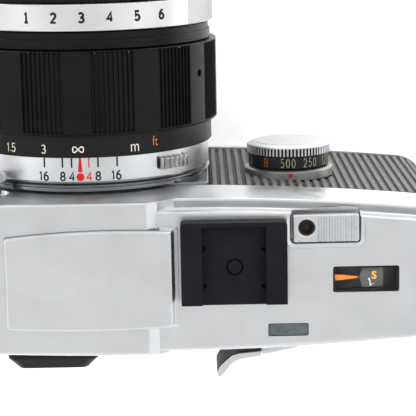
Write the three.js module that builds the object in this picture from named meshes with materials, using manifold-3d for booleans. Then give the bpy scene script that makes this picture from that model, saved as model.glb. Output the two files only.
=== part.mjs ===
// A half-frame single-lens reflex camera with a fast standard lens.
// Millimetres. +Z is up, the lens looks along -Y, and the photographer's right hand is towards -X.
// Every piece is drawn in camera coordinates, where y = 0 is the lens flange plane and z = 0 is the
// underside. One group then moves the whole camera so that the origin lies at the bottom centre of its box.
import * as THREE from 'three';
import { mergeVertices } from 'three/addons/utils/BufferGeometryUtils.js';
import Module from 'manifold-3d';

const wasm = await Module();
wasm.setup();

// ---------------------------------------------------------------- driving dimensions

const body = {
  halfWidth: 63.5,
  halfDepth: 15.9,      // at the middle of the body
  midY: 17.2,           // the middle of the body's depth, behind the flange
  frontBulge: 0.0009,   // how fast the front curves in towards the ends, per mm
  backBulge: 0.0007,
  endRound: 7.5,
  trayReach: 0.3,       // how far the bottom cover stands out from the body
};
const level = {
  trayTop: 2.8,
  wallBottom: 3.3,
  wallTop: 49.2,
  coverBottom: 49.5,
  castingTop: 58,
  sideDeck: 60.5,       // the low deck that carries the rewind knob
  ledge: 64,
  deck: 67.3,           // the deck that carries the accessory shoe and the counter
  housing: 68.3,
  plateTop: 69.5,
  shoeTop: 71,
};
const lens = { x: 14, z: 32.5, frontY: -43 };
const lensRadius = {
  aperture: 27.3,
  focus: 27.9,
  sleeve: 26.6,
  distance: 26.65,
  depth: 25.9,
  mount: 25.4,
  head: 22.2,           // the tube that slides in the barrel and carries the glass
  headBore: 21.2,
  glass: 20.9,
};
const ringY = {
  apertureFront: -37.3,
  apertureRear: -31.9,
  focusFront: -28,
  focusRear: -10.9,
  distanceRear: -6.3,
  depthRear: -1.1,
};
const dial = { x: -29.4, z: 33, base: 9.6, seat: 2.3, ring: 8.75, cap: 9.05, face: 7.8 };
const lever = { x: -46, y: 18, bottom: 59.4, top: 61.2, tipBack: 39.8, fingerBottom: 50.5, fingerTop: 62 };
const rewind = { x: 47.5, y: 18.2, radius: 10 };
const takeUp = { x: -47.5, y: 17.5 };
const sprocket = { x: -33.7, y: 24.3, core: 4, tooth: 5, teeth: 6 };
const shutter = { x: 0, z: 32.5, radius: 27, front: 24.5, back: 24.9 };
const gate = { halfWidth: 9, halfHeight: 12 };
const hinge = { x: -62.3, y: 25, pin: 0.6, knuckle: 1.1, clearance: 2.3 };
const release = { x: 33.5, z: 55.5, stemEnd: 2.9 };
const mirror = { x: 25, y: 22, length: 22, height: 23, thickness: 1 };
const eyepiece = { x: 20.7, z: 58.7, back: 36.3, bore: 5.4 };
const button = { minX: -41.5, maxX: -28.3, minY: 4.7, maxY: 10.2, bottom: 65.6, top: 67.7 };
const counter = { x: -42.9, y: 20.7, radius: 8.3 };
const counterWindow = { minX: -49.6, maxX: -36.3, minY: 15.4, maxY: 20.7 };
const meterWindow = { minX: -31.3, maxX: -23.2, minY: 27, maxY: 29.6 };
const shoe = {
  minX: -27,
  maxX: -5.8,
  minY: 5.3,
  railBack: 22.1,
  maxY: 22.7,
  floor: 68.2,
  slotHalf: 6.35,
  channelHalf: 9.35,
};
const battery = { x: -8, lid: 8, plug: 7 };
const rewindRelease = { x: -44, radius: 2 };
const tripod = { bore: 3.1, bush: 5, depth: 10 };
const selfTimer = { x: 52, z: 36, radius: 4.6 };
const sync = { x: 55, z: 55.5, bore: 1.6, radius: 3 };
const latch = { y0: 20.6, y1: 22.4, z0: 18.4, z1: 28 };
const lug = { y: 13, z: 54, reach: 71 };
const gap = 0.3;        // clearance between pieces that move past each other
const far = 200;        // longer than anything on the camera
const sides = { large: 44, medium: 24, small: 14 };

// ---------------------------------------------------------------- shape helpers

function solid(geometry) {
  const bare = geometry.clone();
  bare.deleteAttribute('normal');
  bare.deleteAttribute('uv');
  const merged = mergeVertices(bare, 1e-4);
  const points = merged.attributes.position;
  const index = merged.index.array;
  const kept = [];
  let volume = 0;
  const a = new THREE.Vector3();
  const b = new THREE.Vector3();
  const c = new THREE.Vector3();
  for (let i = 0; i < index.length; i += 3) {
    const [p, q, r] = [index[i], index[i + 1], index[i + 2]];
    if (p === q || q === r || r === p) continue;
    kept.push(p, q, r);
    a.fromBufferAttribute(points, p);
    b.fromBufferAttribute(points, q);
    c.fromBufferAttribute(points, r);
    volume += a.dot(b.cross(c));
  }
  if (volume < 0) kept.reverse();
  return new wasm.Manifold(new wasm.Mesh({
    numProp: 3,
    vertProperties: new Float32Array(points.array),
    triVerts: new Uint32Array(kept),
  }));
}

function block(x0, x1, y0, y1, z0, z1) {
  const geometry = new THREE.BoxGeometry(x1 - x0, y1 - y0, z1 - z0);
  geometry.translate((x0 + x1) / 2, (y0 + y1) / 2, (z0 + z1) / 2);
  return solid(geometry);
}

// Turned pieces take a profile of [radius, distance along the axis] points.
function turned(profile, segments) {
  return new THREE.LatheGeometry(profile.map(([r, h]) => new THREE.Vector2(r, h)), segments);
}

function turnedZ(x, y, profile, segments = sides.medium) {
  const geometry = turned(profile, segments);
  geometry.rotateX(Math.PI / 2);
  geometry.translate(x, y, 0);
  return solid(geometry);
}

function turnedY(x, z, profile, segments = sides.medium) {
  const geometry = turned(profile, segments);
  geometry.translate(x, 0, z);
  return solid(geometry);
}

function rodProfile(radius, from, to) {
  return [[0, from], [radius, from], [radius, to], [0, to]];
}

function tubeProfile(inner, outer, from, to) {
  return [[inner, from], [outer, from], [outer, to], [inner, to], [inner, from]];
}

function rodZ(x, y, radius, z0, z1, segments = radius > 4 ? sides.medium : sides.small) {
  return turnedZ(x, y, rodProfile(radius, z0, z1), segments);
}

function rodY(x, z, radius, y0, y1, segments = radius > 4 ? sides.medium : sides.small) {
  return turnedY(x, z, rodProfile(radius, y0, y1), segments);
}

function tubeY(x, z, inner, outer, y0, y1, segments = sides.large) {
  return turnedY(x, z, tubeProfile(inner, outer, y0, y1), segments);
}

function rodX(y, z, radius, x0, x1, segments = sides.small) {
  const geometry = turned(rodProfile(radius, x0, x1), segments);
  geometry.rotateZ(-Math.PI / 2);
  geometry.translate(0, y, z);
  return solid(geometry);
}

// An outline in plan, raised from z0 to z1, with its top edge cut back by a small chamfer if asked.
function raised(shape, z0, z1, chamfer = 0) {
  const straight = new THREE.ExtrudeGeometry(shape, {
    depth: z1 - z0 - 2 * chamfer,
    bevelEnabled: chamfer > 0,
    bevelThickness: chamfer,
    bevelSize: chamfer,
    bevelOffset: -chamfer,
    bevelSegments: 1,
    curveSegments: 4,
  });
  straight.translate(0, 0, z0 + chamfer);
  return solid(straight);
}

// An outline in the x-z plane, carried from y0 to y1.
function carried(shape, y0, y1) {
  const geometry = new THREE.ExtrudeGeometry(shape, {
    depth: y1 - y0,
    bevelEnabled: false,
    curveSegments: 5,
  });
  geometry.rotateX(Math.PI / 2);
  geometry.translate(0, y1, 0);
  return solid(geometry);
}

function outlineOf(points) {
  return new THREE.Shape(points.map(([x, y]) => new THREE.Vector2(x, y)));
}

function roundedRectangle(x0, x1, y0, y1, radius) {
  const shape = new THREE.Shape();
  shape.moveTo(x0 + radius, y0);
  shape.lineTo(x1 - radius, y0);
  shape.absarc(x1 - radius, y0 + radius, radius, -Math.PI / 2, 0);
  shape.lineTo(x1, y1 - radius);
  shape.absarc(x1 - radius, y1 - radius, radius, 0, Math.PI / 2);
  shape.lineTo(x0 + radius, y1);
  shape.absarc(x0 + radius, y1 - radius, radius, Math.PI / 2, Math.PI);
  shape.lineTo(x0, y0 + radius);
  shape.absarc(x0 + radius, y0 + radius, radius, Math.PI, 1.5 * Math.PI);
  return shape;
}

// The body in plan: nearly flat front and back that curve in towards rounded ends.
// inset pulls the whole outline in, and front and back pull in one face further.
function bodyOutline(inset, front = 0, back = 0) {
  const endX = body.halfWidth - body.endRound;
  const round = Math.max(body.endRound - inset, 1);
  const frontY = (x) => body.midY - body.halfDepth + body.frontBulge * x * x + inset + front;
  const backY = (x) => body.midY + body.halfDepth - body.backBulge * x * x - inset - back;
  const points = [];
  const stations = 10;
  const cornerSteps = 4;
  for (let i = 0; i <= stations; i += 1) {
    const x = -endX + (2 * endX * i) / stations;
    points.push([x, frontY(x)]);
  }
  const corner = (cx, cy, start) => {
    for (let i = 1; i <= cornerSteps; i += 1) {
      const angle = start + (Math.PI / 2) * (i / cornerSteps);
      points.push([cx + round * Math.cos(angle), cy + round * Math.sin(angle)]);
    }
  };
  corner(endX, frontY(endX) + round, -Math.PI / 2);
  points.push([endX + round, backY(endX) - round]);
  corner(endX, backY(endX) - round, 0);
  for (let i = 1; i <= stations; i += 1) {
    const x = endX - (2 * endX * i) / stations;
    points.push([x, backY(x)]);
  }
  corner(-endX, backY(endX) - round, Math.PI / 2);
  points.push([-endX - round, frontY(endX) + round]);
  corner(-endX, frontY(endX) + round, Math.PI);
  points.pop();
  return outlineOf(points);
}

function bodyBand(outer, inner, z0, z1) {
  return raised(bodyOutline(outer), z0, z1).subtract(raised(bodyOutline(inner), z0 - 1, z1 + 1));
}

// ---------------------------------------------------------------- materials

function finish(color, roughness, metalness) {
  return () => new THREE.MeshStandardMaterial({ color, roughness, metalness });
}

const satinChrome = finish(0xcfd0d2, 0.35, 1);
const polished = finish(0xe2e3e5, 0.12, 1);
const blackLacquer = finish(0x1d1b1c, 0.35, 0.2);
const blackPlastic = finish(0x1c1c20, 0.45, 0);
const grained = finish(0x6d6b69, 0.7, 0);
const darkCasting = finish(0x2b2b2d, 0.6, 0.6);
const brass = finish(0xb08d4f, 0.35, 1);
const glass = finish(0xbfd4d8, 0.05, 0);
const orange = finish(0xf08024, 0.5, 0);
const titanium = finish(0x4a4a4c, 0.5, 0.9);

// ---------------------------------------------------------------- the assembly

const camera = new THREE.Group();
const assembly = new THREE.Group();
assembly.position.y = -(lens.frontY + lever.tipBack) / 2;
camera.add(assembly);

function place(name, shape, material, parent = assembly) {
  const cut = shape.getMesh();
  const geometry = new THREE.BufferGeometry();
  geometry.setAttribute('position', new THREE.BufferAttribute(new Float32Array(cut.vertProperties), 3));
  geometry.setIndex(new THREE.BufferAttribute(new Uint32Array(cut.triVerts), 1));
  geometry.computeVertexNormals();
  const mesh = new THREE.Mesh(geometry, material());
  mesh.name = name;
  parent.add(mesh);
  return mesh;
}

function latchSlot() {
  return block(60, far, latch.y0, latch.y1, latch.z0, latch.z1);
}

// The die-cast frame: film chambers, film gate, mirror box and the slot that the shutter disc turns in.
function bodyCasting() {
  const behindDoorEdge = block(-far, far, 25.3, far, -far, far);
  const behindRails = block(-far, far, 28.8, far, -far, far);
  const outer = raised(bodyOutline(1), level.wallBottom - 0.2, level.wallTop).subtract(behindDoorEdge);
  const inner = raised(bodyOutline(2.7), level.wallBottom - 0.2, level.castingTop).subtract(behindRails);
  const chamberFloor = 6;
  const chamberRoof = 56;
  const cuts = [
    block(3, 26.5, -1, 23.2, 18, 47),
    rodY(lens.x, lens.z, 21.2, -1, 6, sides.large),
    rodY(shutter.x, shutter.z, shutter.radius + 1, 23.7, 26.1, sides.large),
    rodY(shutter.x, shutter.z, 1.8, 21.5, 28),
    block(lens.x - gate.halfWidth, lens.x + gate.halfWidth, 22, 30,
      lens.z - gate.halfHeight, lens.z + gate.halfHeight),
    block(26, 33.6, 4, 21.5, 20, level.castingTop + 1),
    rodZ(rewind.x, rewind.y, 12.9, chamberFloor, chamberRoof),
    block(rewind.x - 12.9, 59, 18, 30, chamberFloor, chamberRoof),
    rodZ(rewind.x, rewind.y, 3.4, chamberRoof - 1, level.castingTop + 1),
    rodZ(takeUp.x, takeUp.y, 10.4, chamberFloor, chamberRoof),
    block(takeUp.x - 10.4, takeUp.x + 10.4, 17, 30, chamberFloor, chamberRoof),
    block(-39.2, -28.2, 18.9, 30, 8, chamberRoof),
    rodZ(lever.x, lever.y, 3.3, chamberRoof - 1, level.castingTop + 1),
    rodZ(hinge.x, hinge.y, hinge.clearance, -1, far),
    rodZ(lens.x, body.midY, tripod.bore, 0, tripod.depth),
    rodZ(rewindRelease.x, body.midY, rewindRelease.radius + 0.4, 0, 5.5),
    latchSlot(),
  ];
  return cuts.reduce((shape, cut) => shape.subtract(cut), outer.add(inner));
}

function lensHole() {
  return rodY(lens.x, lens.z, 21.6, 0, 6, sides.large);
}

function addBody() {
  place('body_casting', bodyCasting(), darkCasting);

  const tray = raised(bodyOutline(-body.trayReach), 0, level.trayTop, 0.4)
    .subtract(raised(bodyOutline(1.8), 0.9, level.trayTop + 1))
    .subtract(rodZ(lens.x, body.midY, tripod.bush + gap, -1, 4))
    .subtract(rodZ(battery.x, body.midY, battery.lid + gap, -1, 4))
    .subtract(rodZ(rewindRelease.x, body.midY, rewindRelease.radius + gap, -1, 4));
  place('bottom_cover', tray, satinChrome);
  const bush = turnedZ(lens.x, body.midY, tubeProfile(tripod.bore, tripod.bush, 0.1, 3), 32);
  place('tripod_socket', bush, brass);

  const coinSlot = block(battery.x - 6.5, battery.x + 6.5, body.midY - 0.8, body.midY + 0.8, -1, 0.6);
  const batteryCover = rodZ(battery.x, body.midY, battery.lid, 0.05, 0.9)
    .add(rodZ(battery.x, body.midY, battery.plug, 0.8, 2.9))
    .subtract(coinSlot);
  place('battery_cover', batteryCover, satinChrome);
  const rewindButton = rodZ(rewindRelease.x, body.midY, rewindRelease.radius, 0.4, 3.6);
  place('rewind_release_button', rewindButton, satinChrome);

  const plateHalf = 25.7;
  const outline = roundedRectangle(
    lens.x - plateHalf, lens.x + plateHalf, level.wallBottom, level.wallTop, 1);
  place('front_plate', carried(outline, 1, 2.2).subtract(lensHole()), satinChrome);
  place('lens_mount_ring', tubeY(lens.x, lens.z, 21.3, lensRadius.mount, 0.15, 0.95), polished);
}

function addCoverings() {
  const skin = bodyBand(0, 0.85, level.wallBottom, level.wallTop)
    .subtract(block(-far, far, 24.3, far, -far, far))
    .subtract(rodZ(hinge.x, hinge.y, hinge.clearance, 0, far));
  const beside = 26;
  const right = skin.subtract(block(lens.x - beside, far, -far, far, -far, far))
    .subtract(rodY(dial.x, dial.z, dial.base + 0.05, 0, 4, 32));
  const left = skin.subtract(block(-far, lens.x + beside, -far, far, -far, far)).subtract(latchSlot());
  place('front_covering_right', right, grained);
  place('front_covering_left', left, grained);
}

function addDoor() {
  const beforeDoor = block(-far, far, -far, 25.6, -far, far);
  const wall = [level.wallBottom, level.wallTop];
  const knuckleWeb = block(hinge.x, hinge.x + 1.2, hinge.y, 26.6, ...wall)
    .intersect(raised(bodyOutline(0.9), 0, far));
  const shell = bodyBand(0.9, 2.2, ...wall)
    .subtract(beforeDoor)
    .add(rodZ(hinge.x, hinge.y, hinge.knuckle, ...wall))
    .add(knuckleWeb)
    .subtract(rodZ(hinge.x, hinge.y, hinge.pin + 0.15, 0, far));
  place('back_door', shell, darkCasting);
  const doorSkin = bodyBand(0, 0.85, ...wall)
    .subtract(beforeDoor)
    .subtract(rodZ(hinge.x, hinge.y, hinge.knuckle + 0.1, 0, far));
  place('door_covering', doorSkin, grained);
  const pin = rodZ(hinge.x, hinge.y, hinge.pin, level.trayTop + 0.05, level.coverBottom - 0.05);
  place('door_hinge_pin', pin, polished);

  const padOutline = roundedRectangle(lens.x - 11, lens.x + 11, lens.z - 17, lens.z + 16.5, 1.5);
  place('pressure_plate', carried(padOutline, 29.3, 30), blackLacquer);

  const latchTab = block(63.55, 64.7, latch.y0 - 1, latch.y1 + 1, 20, 30);
  const latchHook = block(60.6, 63.6, latch.y0 + gap, latch.y1 - gap, 23.2, latch.z1 - 0.4);
  place('door_latch', latchTab.add(latchHook), satinChrome);
}

// The top cover is one thin shell: a low deck for rewinding, the finder housing over the lens,
// and a right-hand deck that steps back behind a ledge along the front.
function topCover() {
  const low = raised(bodyOutline(0.1), level.coverBottom, level.ledge, 0.5);
  const deck = raised(bodyOutline(0.3, 2.3, 0.7), level.ledge - 2, level.deck, 0.4)
    .subtract(block(0, far, -far, far, -far, far));
  const housingProfile = (side, roof) => outlineOf([
    [-4.6 + side, 50], [-4.6 + side, 64.5 - roof], [-1 + side, level.housing - roof],
    [30 - side, level.housing - roof], [33.5 - side, 64.5 - roof], [33.5 - side, 50]]);
  const footprint = raised(bodyOutline(0.1), 0, far);
  const housing = carried(housingProfile(0, 0), 0, 40).intersect(footprint);
  const outside = low.subtract(block(33.5, far, -far, far, level.sideDeck, far)).add(deck).add(housing);

  const room = raised(bodyOutline(1.5), level.coverBottom - 1, level.ledge - 1.4)
    .subtract(block(32.3, far, -far, far, level.sideDeck - 1.3, far));
  const buttonWell = block(button.minX - 1.5, button.maxX + 1.5, -far, button.maxY + 1.5, -far, far);
  const deckRoom = raised(bodyOutline(1.7, 2.3, 0.7), level.ledge - 2.4, level.deck - 1.2)
    .subtract(block(-3, far, -far, far, -far, far))
    .subtract(buttonWell);
  const housingRoom = carried(housingProfile(1.3, 1.2), 3, 40)
    .intersect(raised(bodyOutline(1.5), 0, far))
    .intersect(block(-far, far, -far, far, 52, far));
  const notch = block(button.minX - gap, button.maxX + gap, -far, button.maxY + gap, 63.6, far);
  const leverSlot = block(-far, -26, 16.5, far, lever.bottom - 0.8, lever.top + 0.8)
    .subtract(raised(bodyOutline(1.6), 0, far));
  const cuts = [
    room, deckRoom, housingRoom, notch, leverSlot, lensHole(),
    block(counterWindow.minX, counterWindow.maxX, counterWindow.minY, counterWindow.maxY, 65.5, 68),
    block(meterWindow.minX, meterWindow.maxX, meterWindow.minY, meterWindow.maxY, 65.5, 68),
    rodZ(-31, 7.3, 1.8, 60, 66),
    rodY(eyepiece.x, eyepiece.z, 6.6, 28, 36),
    rodZ(rewind.x, rewind.y, 3.4, 57, 62),
    rodY(release.x, release.z, 1.9, 0, 6),
  ];
  return cuts.reduce((shape, cut) => shape.subtract(cut), outside);
}

function addTop() {
  place('top_cover', topCover(), satinChrome);

  const plan = new THREE.Shape();
  const [left, right, front, back, round] = [-5.3, 29.6, 7.2, 27, 2];
  plan.moveTo(left, front + round);
  plan.quadraticCurveTo(left, front, left + round, front);
  plan.quadraticCurveTo((left + right) / 2, front - 0.9, right - round, front);
  plan.quadraticCurveTo(right, front, right, front + round);
  plan.lineTo(right, back - round);
  plan.quadraticCurveTo(right, back, right - round, back);
  plan.quadraticCurveTo((left + right) / 2, back + 1.2, left + round, back);
  plan.quadraticCurveTo(left, back, left, back - round);
  const edge = carried(outlineOf([
    [-5.3, 67.35], [-5.3, 68], [-3.2, level.plateTop], [28.9, level.plateTop], [29.7, 68.7],
    [29.7, 68.35], [-1.2, 68.35], [-2, 67.35]]), 0, 40);
  place('finder_top_plate', raised(plan, 67, level.plateTop + 1).intersect(edge), satinChrome);

  const midX = (shoe.minX + shoe.maxX) / 2;
  const frontWall = shoe.minY + 1.5;
  const footprint = roundedRectangle(shoe.minX, shoe.maxX, shoe.minY, shoe.maxY, 0.7);
  const foot = raised(footprint, level.deck + 0.05, level.shoeTop)
    .subtract(block(midX - shoe.channelHalf, midX + shoe.channelHalf, frontWall, far, shoe.floor, 70.1))
    .subtract(block(midX - shoe.slotHalf, midX + shoe.slotHalf, frontWall, far, 70, far))
    .subtract(block(-far, far, shoe.railBack, far, shoe.floor, far));
  place('accessory_shoe', foot, blackPlastic);

  place('counter_glass', block(counterWindow.minX + 0.1, counterWindow.maxX - 0.1,
    counterWindow.minY + 0.1, counterWindow.maxY - 0.1, 66.4, 67.2), glass);
  place('meter_window', block(meterWindow.minX + 0.1, meterWindow.maxX - 0.1,
    meterWindow.minY + 0.1, meterWindow.maxY - 0.1, 66.4, 67.2), glass);
  place('counter_dial', rodZ(counter.x, counter.y, counter.radius, 64.6, 65.2)
    .add(rodZ(counter.x, counter.y, 1.2, 63, 64.8)), blackLacquer);
  const arrow = outlineOf([[-34, 17.3], [-34, 18.7], [-37.5, 18.6], [-41.2, 18], [-37.5, 17.4]]);
  place('counter_pointer', raised(arrow, 65.6, 66), orange);

  for (const [name, side] of [['strap_lug_left', 1], ['strap_lug_right', -1]]) {
    const start = body.halfWidth - 1.2;
    const eye = lug.reach - 3;
    const post = rodX(lug.y, lug.z, 1.6, start + 1.35, eye - 1.2);
    const ring = rodY(eye, lug.z, 3, lug.y - 0.9, lug.y + 0.9);
    const hole = rodY(eye, lug.z, 1.6, lug.y - 2, lug.y + 2);
    place(name, post.add(ring).subtract(hole).scale([side, 1, 1]), polished);
  }
}

function addShutterButton() {
  const grooves = 7;
  const firstGroove = -34.1;
  const pitch = 1.05;
  const socket = { x: -31, y: 7.3 };
  const outline = roundedRectangle(button.minX, button.maxX, button.minY, button.maxY, 0.5);
  let cap = raised(outline, button.bottom, button.top)
    .subtract(rodZ(socket.x, socket.y, 1.65, 66.4, 68))
    .add(rodZ(socket.x, socket.y, 1.4, 60.5, button.bottom + 0.3));
  for (let i = 0; i < grooves; i += 1) {
    const x = firstGroove - i * pitch;
    cap = cap.subtract(block(x - 0.2, x + 0.2, 5.4, 9.6, button.top - 0.35, far));
  }
  place('shutter_button', cap, satinChrome);
}

function addFilmTransport() {
  const fingerBack = [
    [-22, 35.4], [-17.5, 36.1], [-15.8, 37], [-14.7, 38.5], [-13.8, 39.5], [-13.2, lever.tipBack]];
  const fingerFront = [
    [-12.6, 39.3], [-12.7, 38.6], [-13.5, 37.3], [-14.6, 36.3], [-15.9, 35.2], [-17.3, 34.7], [-22, 34.3]];
  const arm = raised(outlineOf([
    [-50.5, 20.5], [-46, 23.5], [-38, 29.6], [-32.5, 33], [-28.7, 34.1], [-25, 34.9],
    ...fingerBack, ...fingerFront,
    [-26.6, 33.4], [-29.5, 28.5], [-40.5, 18], [-43, 13.8], [-48, 13.6]]), lever.bottom, lever.top);
  const finger = raised(outlineOf([...fingerBack, ...fingerFront]), lever.fingerBottom, lever.fingerTop);
  place('advance_lever', arm.add(finger).subtract(rodZ(lever.x, lever.y, 3, 0, far)), satinChrome);
  place('advance_shaft', rodZ(lever.x, lever.y, 2.95, 56.3, 62.4), polished);

  const spoolProfile = [[0, 8], [8.6, 8], [8.6, 9], [5.5, 9], [5.5, 53], [8.6, 53], [8.6, 54], [0, 54]];
  place('take_up_spool', turnedZ(takeUp.x, takeUp.y, spoolProfile), blackPlastic);

  let wheel = rodZ(sprocket.x, sprocket.y, sprocket.core, 10, 54);
  for (const z of [lens.z - 14.2, lens.z + 14.2]) {
    for (let i = 0; i < sprocket.teeth; i += 1) {
      const tooth = block(0, sprocket.tooth, -0.6, 0.6, z - 1, z + 1)
        .rotate([0, 0, (360 * i) / sprocket.teeth])
        .translate([sprocket.x, sprocket.y, 0]);
      wheel = wheel.add(tooth);
    }
  }
  place('film_sprocket', wheel, polished);
}

function addRewind() {
  const fork = rodZ(rewind.x, rewind.y, 2.2, 50, 60.9)
    .add(rodZ(rewind.x, rewind.y, 3, 47, 53))
    .subtract(block(rewind.x - 1, rewind.x + 1, 0, 40, 46, 49.5));
  place('rewind_fork', fork, polished);

  const knob = turnedZ(rewind.x, rewind.y, [
    [0, 61], [rewind.radius, 61], [rewind.radius, 64.2], [rewind.radius - 0.8, 65], [0, 65]], 32);
  place('rewind_knob', knob, satinChrome);

  const crank = { half: 2.6, hingeX: rewind.x + 7.1, tipX: rewind.x - 7.9, bottom: 65.3, top: 66.5 };
  const side = [rewind.y - crank.half, rewind.y + crank.half];
  const barrel = new THREE.Shape().absarc(crank.hingeX, 65.9, 0.6, 0, 2 * Math.PI);
  const arm = block(crank.tipX, crank.hingeX, ...side, crank.bottom, crank.top)
    .add(carried(barrel, ...side))
    .add(rodZ(rewind.x - 5, rewind.y, 2.3, crank.top - 0.1, 68.2));
  place('rewind_crank', arm, satinChrome);
}

function addShutterAndFinder() {
  const blade = new THREE.Shape();
  const openHalf = THREE.MathUtils.degToRad(80);
  blade.moveTo(0, 0);
  blade.absarc(0, 0, shutter.radius, -Math.PI + openHalf, Math.PI - openHalf);
  const disc = carried(blade, shutter.front, shutter.back).translate([shutter.x, 0, shutter.z])
    .add(rodY(shutter.x, shutter.z, 5, shutter.front, shutter.back))
    .subtract(rodY(shutter.x, shutter.z, 1.5, 20, 30));
  place('shutter_disc', disc, titanium);
  place('shutter_shaft', rodY(shutter.x, shutter.z, 1.45, 22, 27.5), polished);

  const swing = new THREE.Group();
  swing.position.set(mirror.x, mirror.y, lens.z);
  swing.rotation.z = THREE.MathUtils.degToRad(225);
  assembly.add(swing);
  const half = mirror.height / 2;
  place('reflex_mirror', block(0, mirror.length, -mirror.thickness / 2, mirror.thickness / 2, -half, half)
    .add(rodZ(0, 0, 0.9, -half - 1, half + 1)), polished, swing);

  place('focusing_screen', block(27.3, 28.5, 5, 21, 21, 44), glass);
  const relay = outlineOf([[28.9, 21], [33.3, 25.4], [33.3, 57.5], [28.9, 53.1]]);
  place('relay_prism', carried(relay, 5, 20.5), glass);
  const roof = outlineOf([[12, 58.6], [31, 58.6], [31, 62], [28.5, 65.8], [14, 65.8], [12, 63.5]]);
  place('finder_prism', carried(roof, 6, 28), glass);

  const rim = (halfWidth, halfHeight, radius, y0, y1) => carried(roundedRectangle(
    eyepiece.x - halfWidth, eyepiece.x + halfWidth,
    eyepiece.z - halfHeight, eyepiece.z + halfHeight, radius), y0, y1);
  const tapered = wasm.Manifold.hull([rim(9.3, 7.2, 2.4, 32.95, 34), rim(7.25, 5.9, 1.8, 36, eyepiece.back)]);
  const frame = tapered
    .add(rodY(eyepiece.x, eyepiece.z, eyepiece.bore + 0.9, 30.2, 33.2))
    .subtract(rodY(eyepiece.x, eyepiece.z, eyepiece.bore, 30, far));
  place('eyepiece_frame', frame, blackPlastic);
  const ocular = [[0, 33], [5.2, 33.4], [5.2, 34.6], [3, 35], [0, 35.2]];
  place('eyepiece_lens', turnedY(eyepiece.x, eyepiece.z, ocular), glass);
}

function addFrontControls() {
  place('speed_dial_base', tubeY(dial.x, dial.z, 2.4, dial.base, 0.3, dial.seat, 32), satinChrome);
  place('speed_dial_ring', rodY(dial.x, dial.z, dial.ring, -2.85, 0, 32)
    .add(rodY(dial.x, dial.z, 2, -0.5, 1.3)), blackLacquer);
  const cap = turnedY(dial.x, dial.z, [
    [0, -5.1], [dial.face, -5.1], [dial.cap, -4.3], [dial.cap, -2.9], [0, -2.9]], 32);
  place('speed_dial_cap', cap, satinChrome);

  const catchButton = rodY(release.x, release.z, 3.5, -2.9, 0.1)
    .add(rodY(release.x, release.z, 1.6, 0, release.stemEnd));
  place('lens_release_button', catchButton, satinChrome);

  place('self_timer_hub', rodY(selfTimer.x, selfTimer.z, selfTimer.radius, -0.3, 2.7), satinChrome);
  const armOutline = roundedRectangle(selfTimer.x - 2.6, selfTimer.x + 2.6, 18, 40.5, 2.4);
  place('self_timer_lever', carried(armOutline, -2.4, -0.4), satinChrome);
  place('sync_socket', tubeY(sync.x, sync.z, sync.bore, sync.radius, 1.2, 3.3, 24), polished);
}

function addLens() {
  const { x, z } = lens;
  const { head, headBore, glass: glassRadius } = lensRadius;
  const barrel = [
    [19.3, 4.5], [19.3, -1], [22.6, -1], [22.6, -20], [23.4, -20], [23.4, -1.05], [26.1, -1.05],
    [26.1, 0.1], [20.6, 0.1], [20.6, 4.5], [19.3, 4.5]];
  place('lens_barrel', turnedY(x, z, barrel, sides.large), polished);
  const depthScale = tubeY(x, z, 23.6, lensRadius.depth, ringY.distanceRear + 0.1, ringY.depthRear);
  place('depth_scale_ring', depthScale, satinChrome);
  const distanceScale = tubeY(x, z, 24.2, lensRadius.distance, ringY.focusRear + 0.1, ringY.distanceRear);
  place('distance_scale_ring', distanceScale, blackLacquer);
  const grip = [
    [22.6, ringY.focusFront], [lensRadius.focus, ringY.focusFront], [lensRadius.focus, ringY.focusRear],
    [24.2, ringY.focusRear], [24.2, -26], [22.6, -26], [22.6, ringY.focusFront]];
  place('focus_ring', turnedY(x, z, grip, sides.large), blackLacquer);

  const headProfile = [
    [headBore, -37.5], [head, -37.5], [head, -31.6], [lensRadius.sleeve, -31.6],
    [lensRadius.sleeve - 0.3, -28.3], [head, -28.3], [head, -1.5], [headBore, -1.5], [headBore, -37.5]];
  place('lens_head', turnedY(x, z, headProfile, sides.large), blackLacquer);
  const stops = tubeY(x, z, head + gap, lensRadius.aperture, ringY.apertureFront, ringY.apertureRear);
  place('aperture_ring', stops, satinChrome);
  const rimProfile = [
    [21, -37.6], [21, -38.4], [23.9, lens.frontY], [26, lens.frontY], [26, -37.6], [21, -37.6]];
  place('front_rim', turnedY(x, z, rimProfile, sides.large), blackLacquer);

  const front = [
    [0, -38], [7, -37.6], [14, -36.4], [19.3, -34.6], [glassRadius, -34.2], [glassRadius, -31],
    [14, -30.4], [0, -30]];
  place('front_element', turnedY(x, z, front), glass);
  const irisHousing = [
    [16, -21], [glassRadius, -21], [glassRadius, -15], [20.3, -15], [20.3, -19.4], [16, -19.4], [16, -21]];
  place('iris_housing', turnedY(x, z, irisHousing), blackLacquer);
  place('iris_ring', tubeY(x, z, 12, 20, -18.4, -17.6, sides.medium), titanium);
  const rear = [[0, -9], [9, -8.6], [16.5, -7.4], [16.5, -4.6], [9, -3], [0, -2.4]];
  place('rear_element', turnedY(x, z, rear), glass);
  place('rear_cell', tubeY(x, z, 16.8, glassRadius, -9, -2, sides.medium), blackLacquer);

  const middle = Math.PI / 2 + THREE.MathUtils.degToRad(43.6);
  const reach = THREE.MathUtils.degToRad(9.8);
  const tab = new THREE.Shape();
  tab.absarc(0, 0, 27.3, middle - reach, middle + reach);
  tab.absarc(0, 0, 26.1, middle + reach, middle - reach, true);
  tab.closePath();
  place('stop_down_tab', carried(tab, -5.6, -2.3).translate([x, 0, z]), satinChrome);
}

addBody();
addCoverings();
addDoor();
addTop();
addShutterButton();
addFilmTransport();
addRewind();
addShutterAndFinder();
addFrontControls();
addLens();

export default camera;
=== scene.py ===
"""The half-frame camera as it looks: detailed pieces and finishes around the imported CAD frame.

Shapes are written in camera millimetres: y = 0 is the lens flange, z = 0 the underside, and the lens looks
along -Y. TO_ROW turns them into the frame's metres when a piece is finished.
"""
import math
import random

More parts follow.
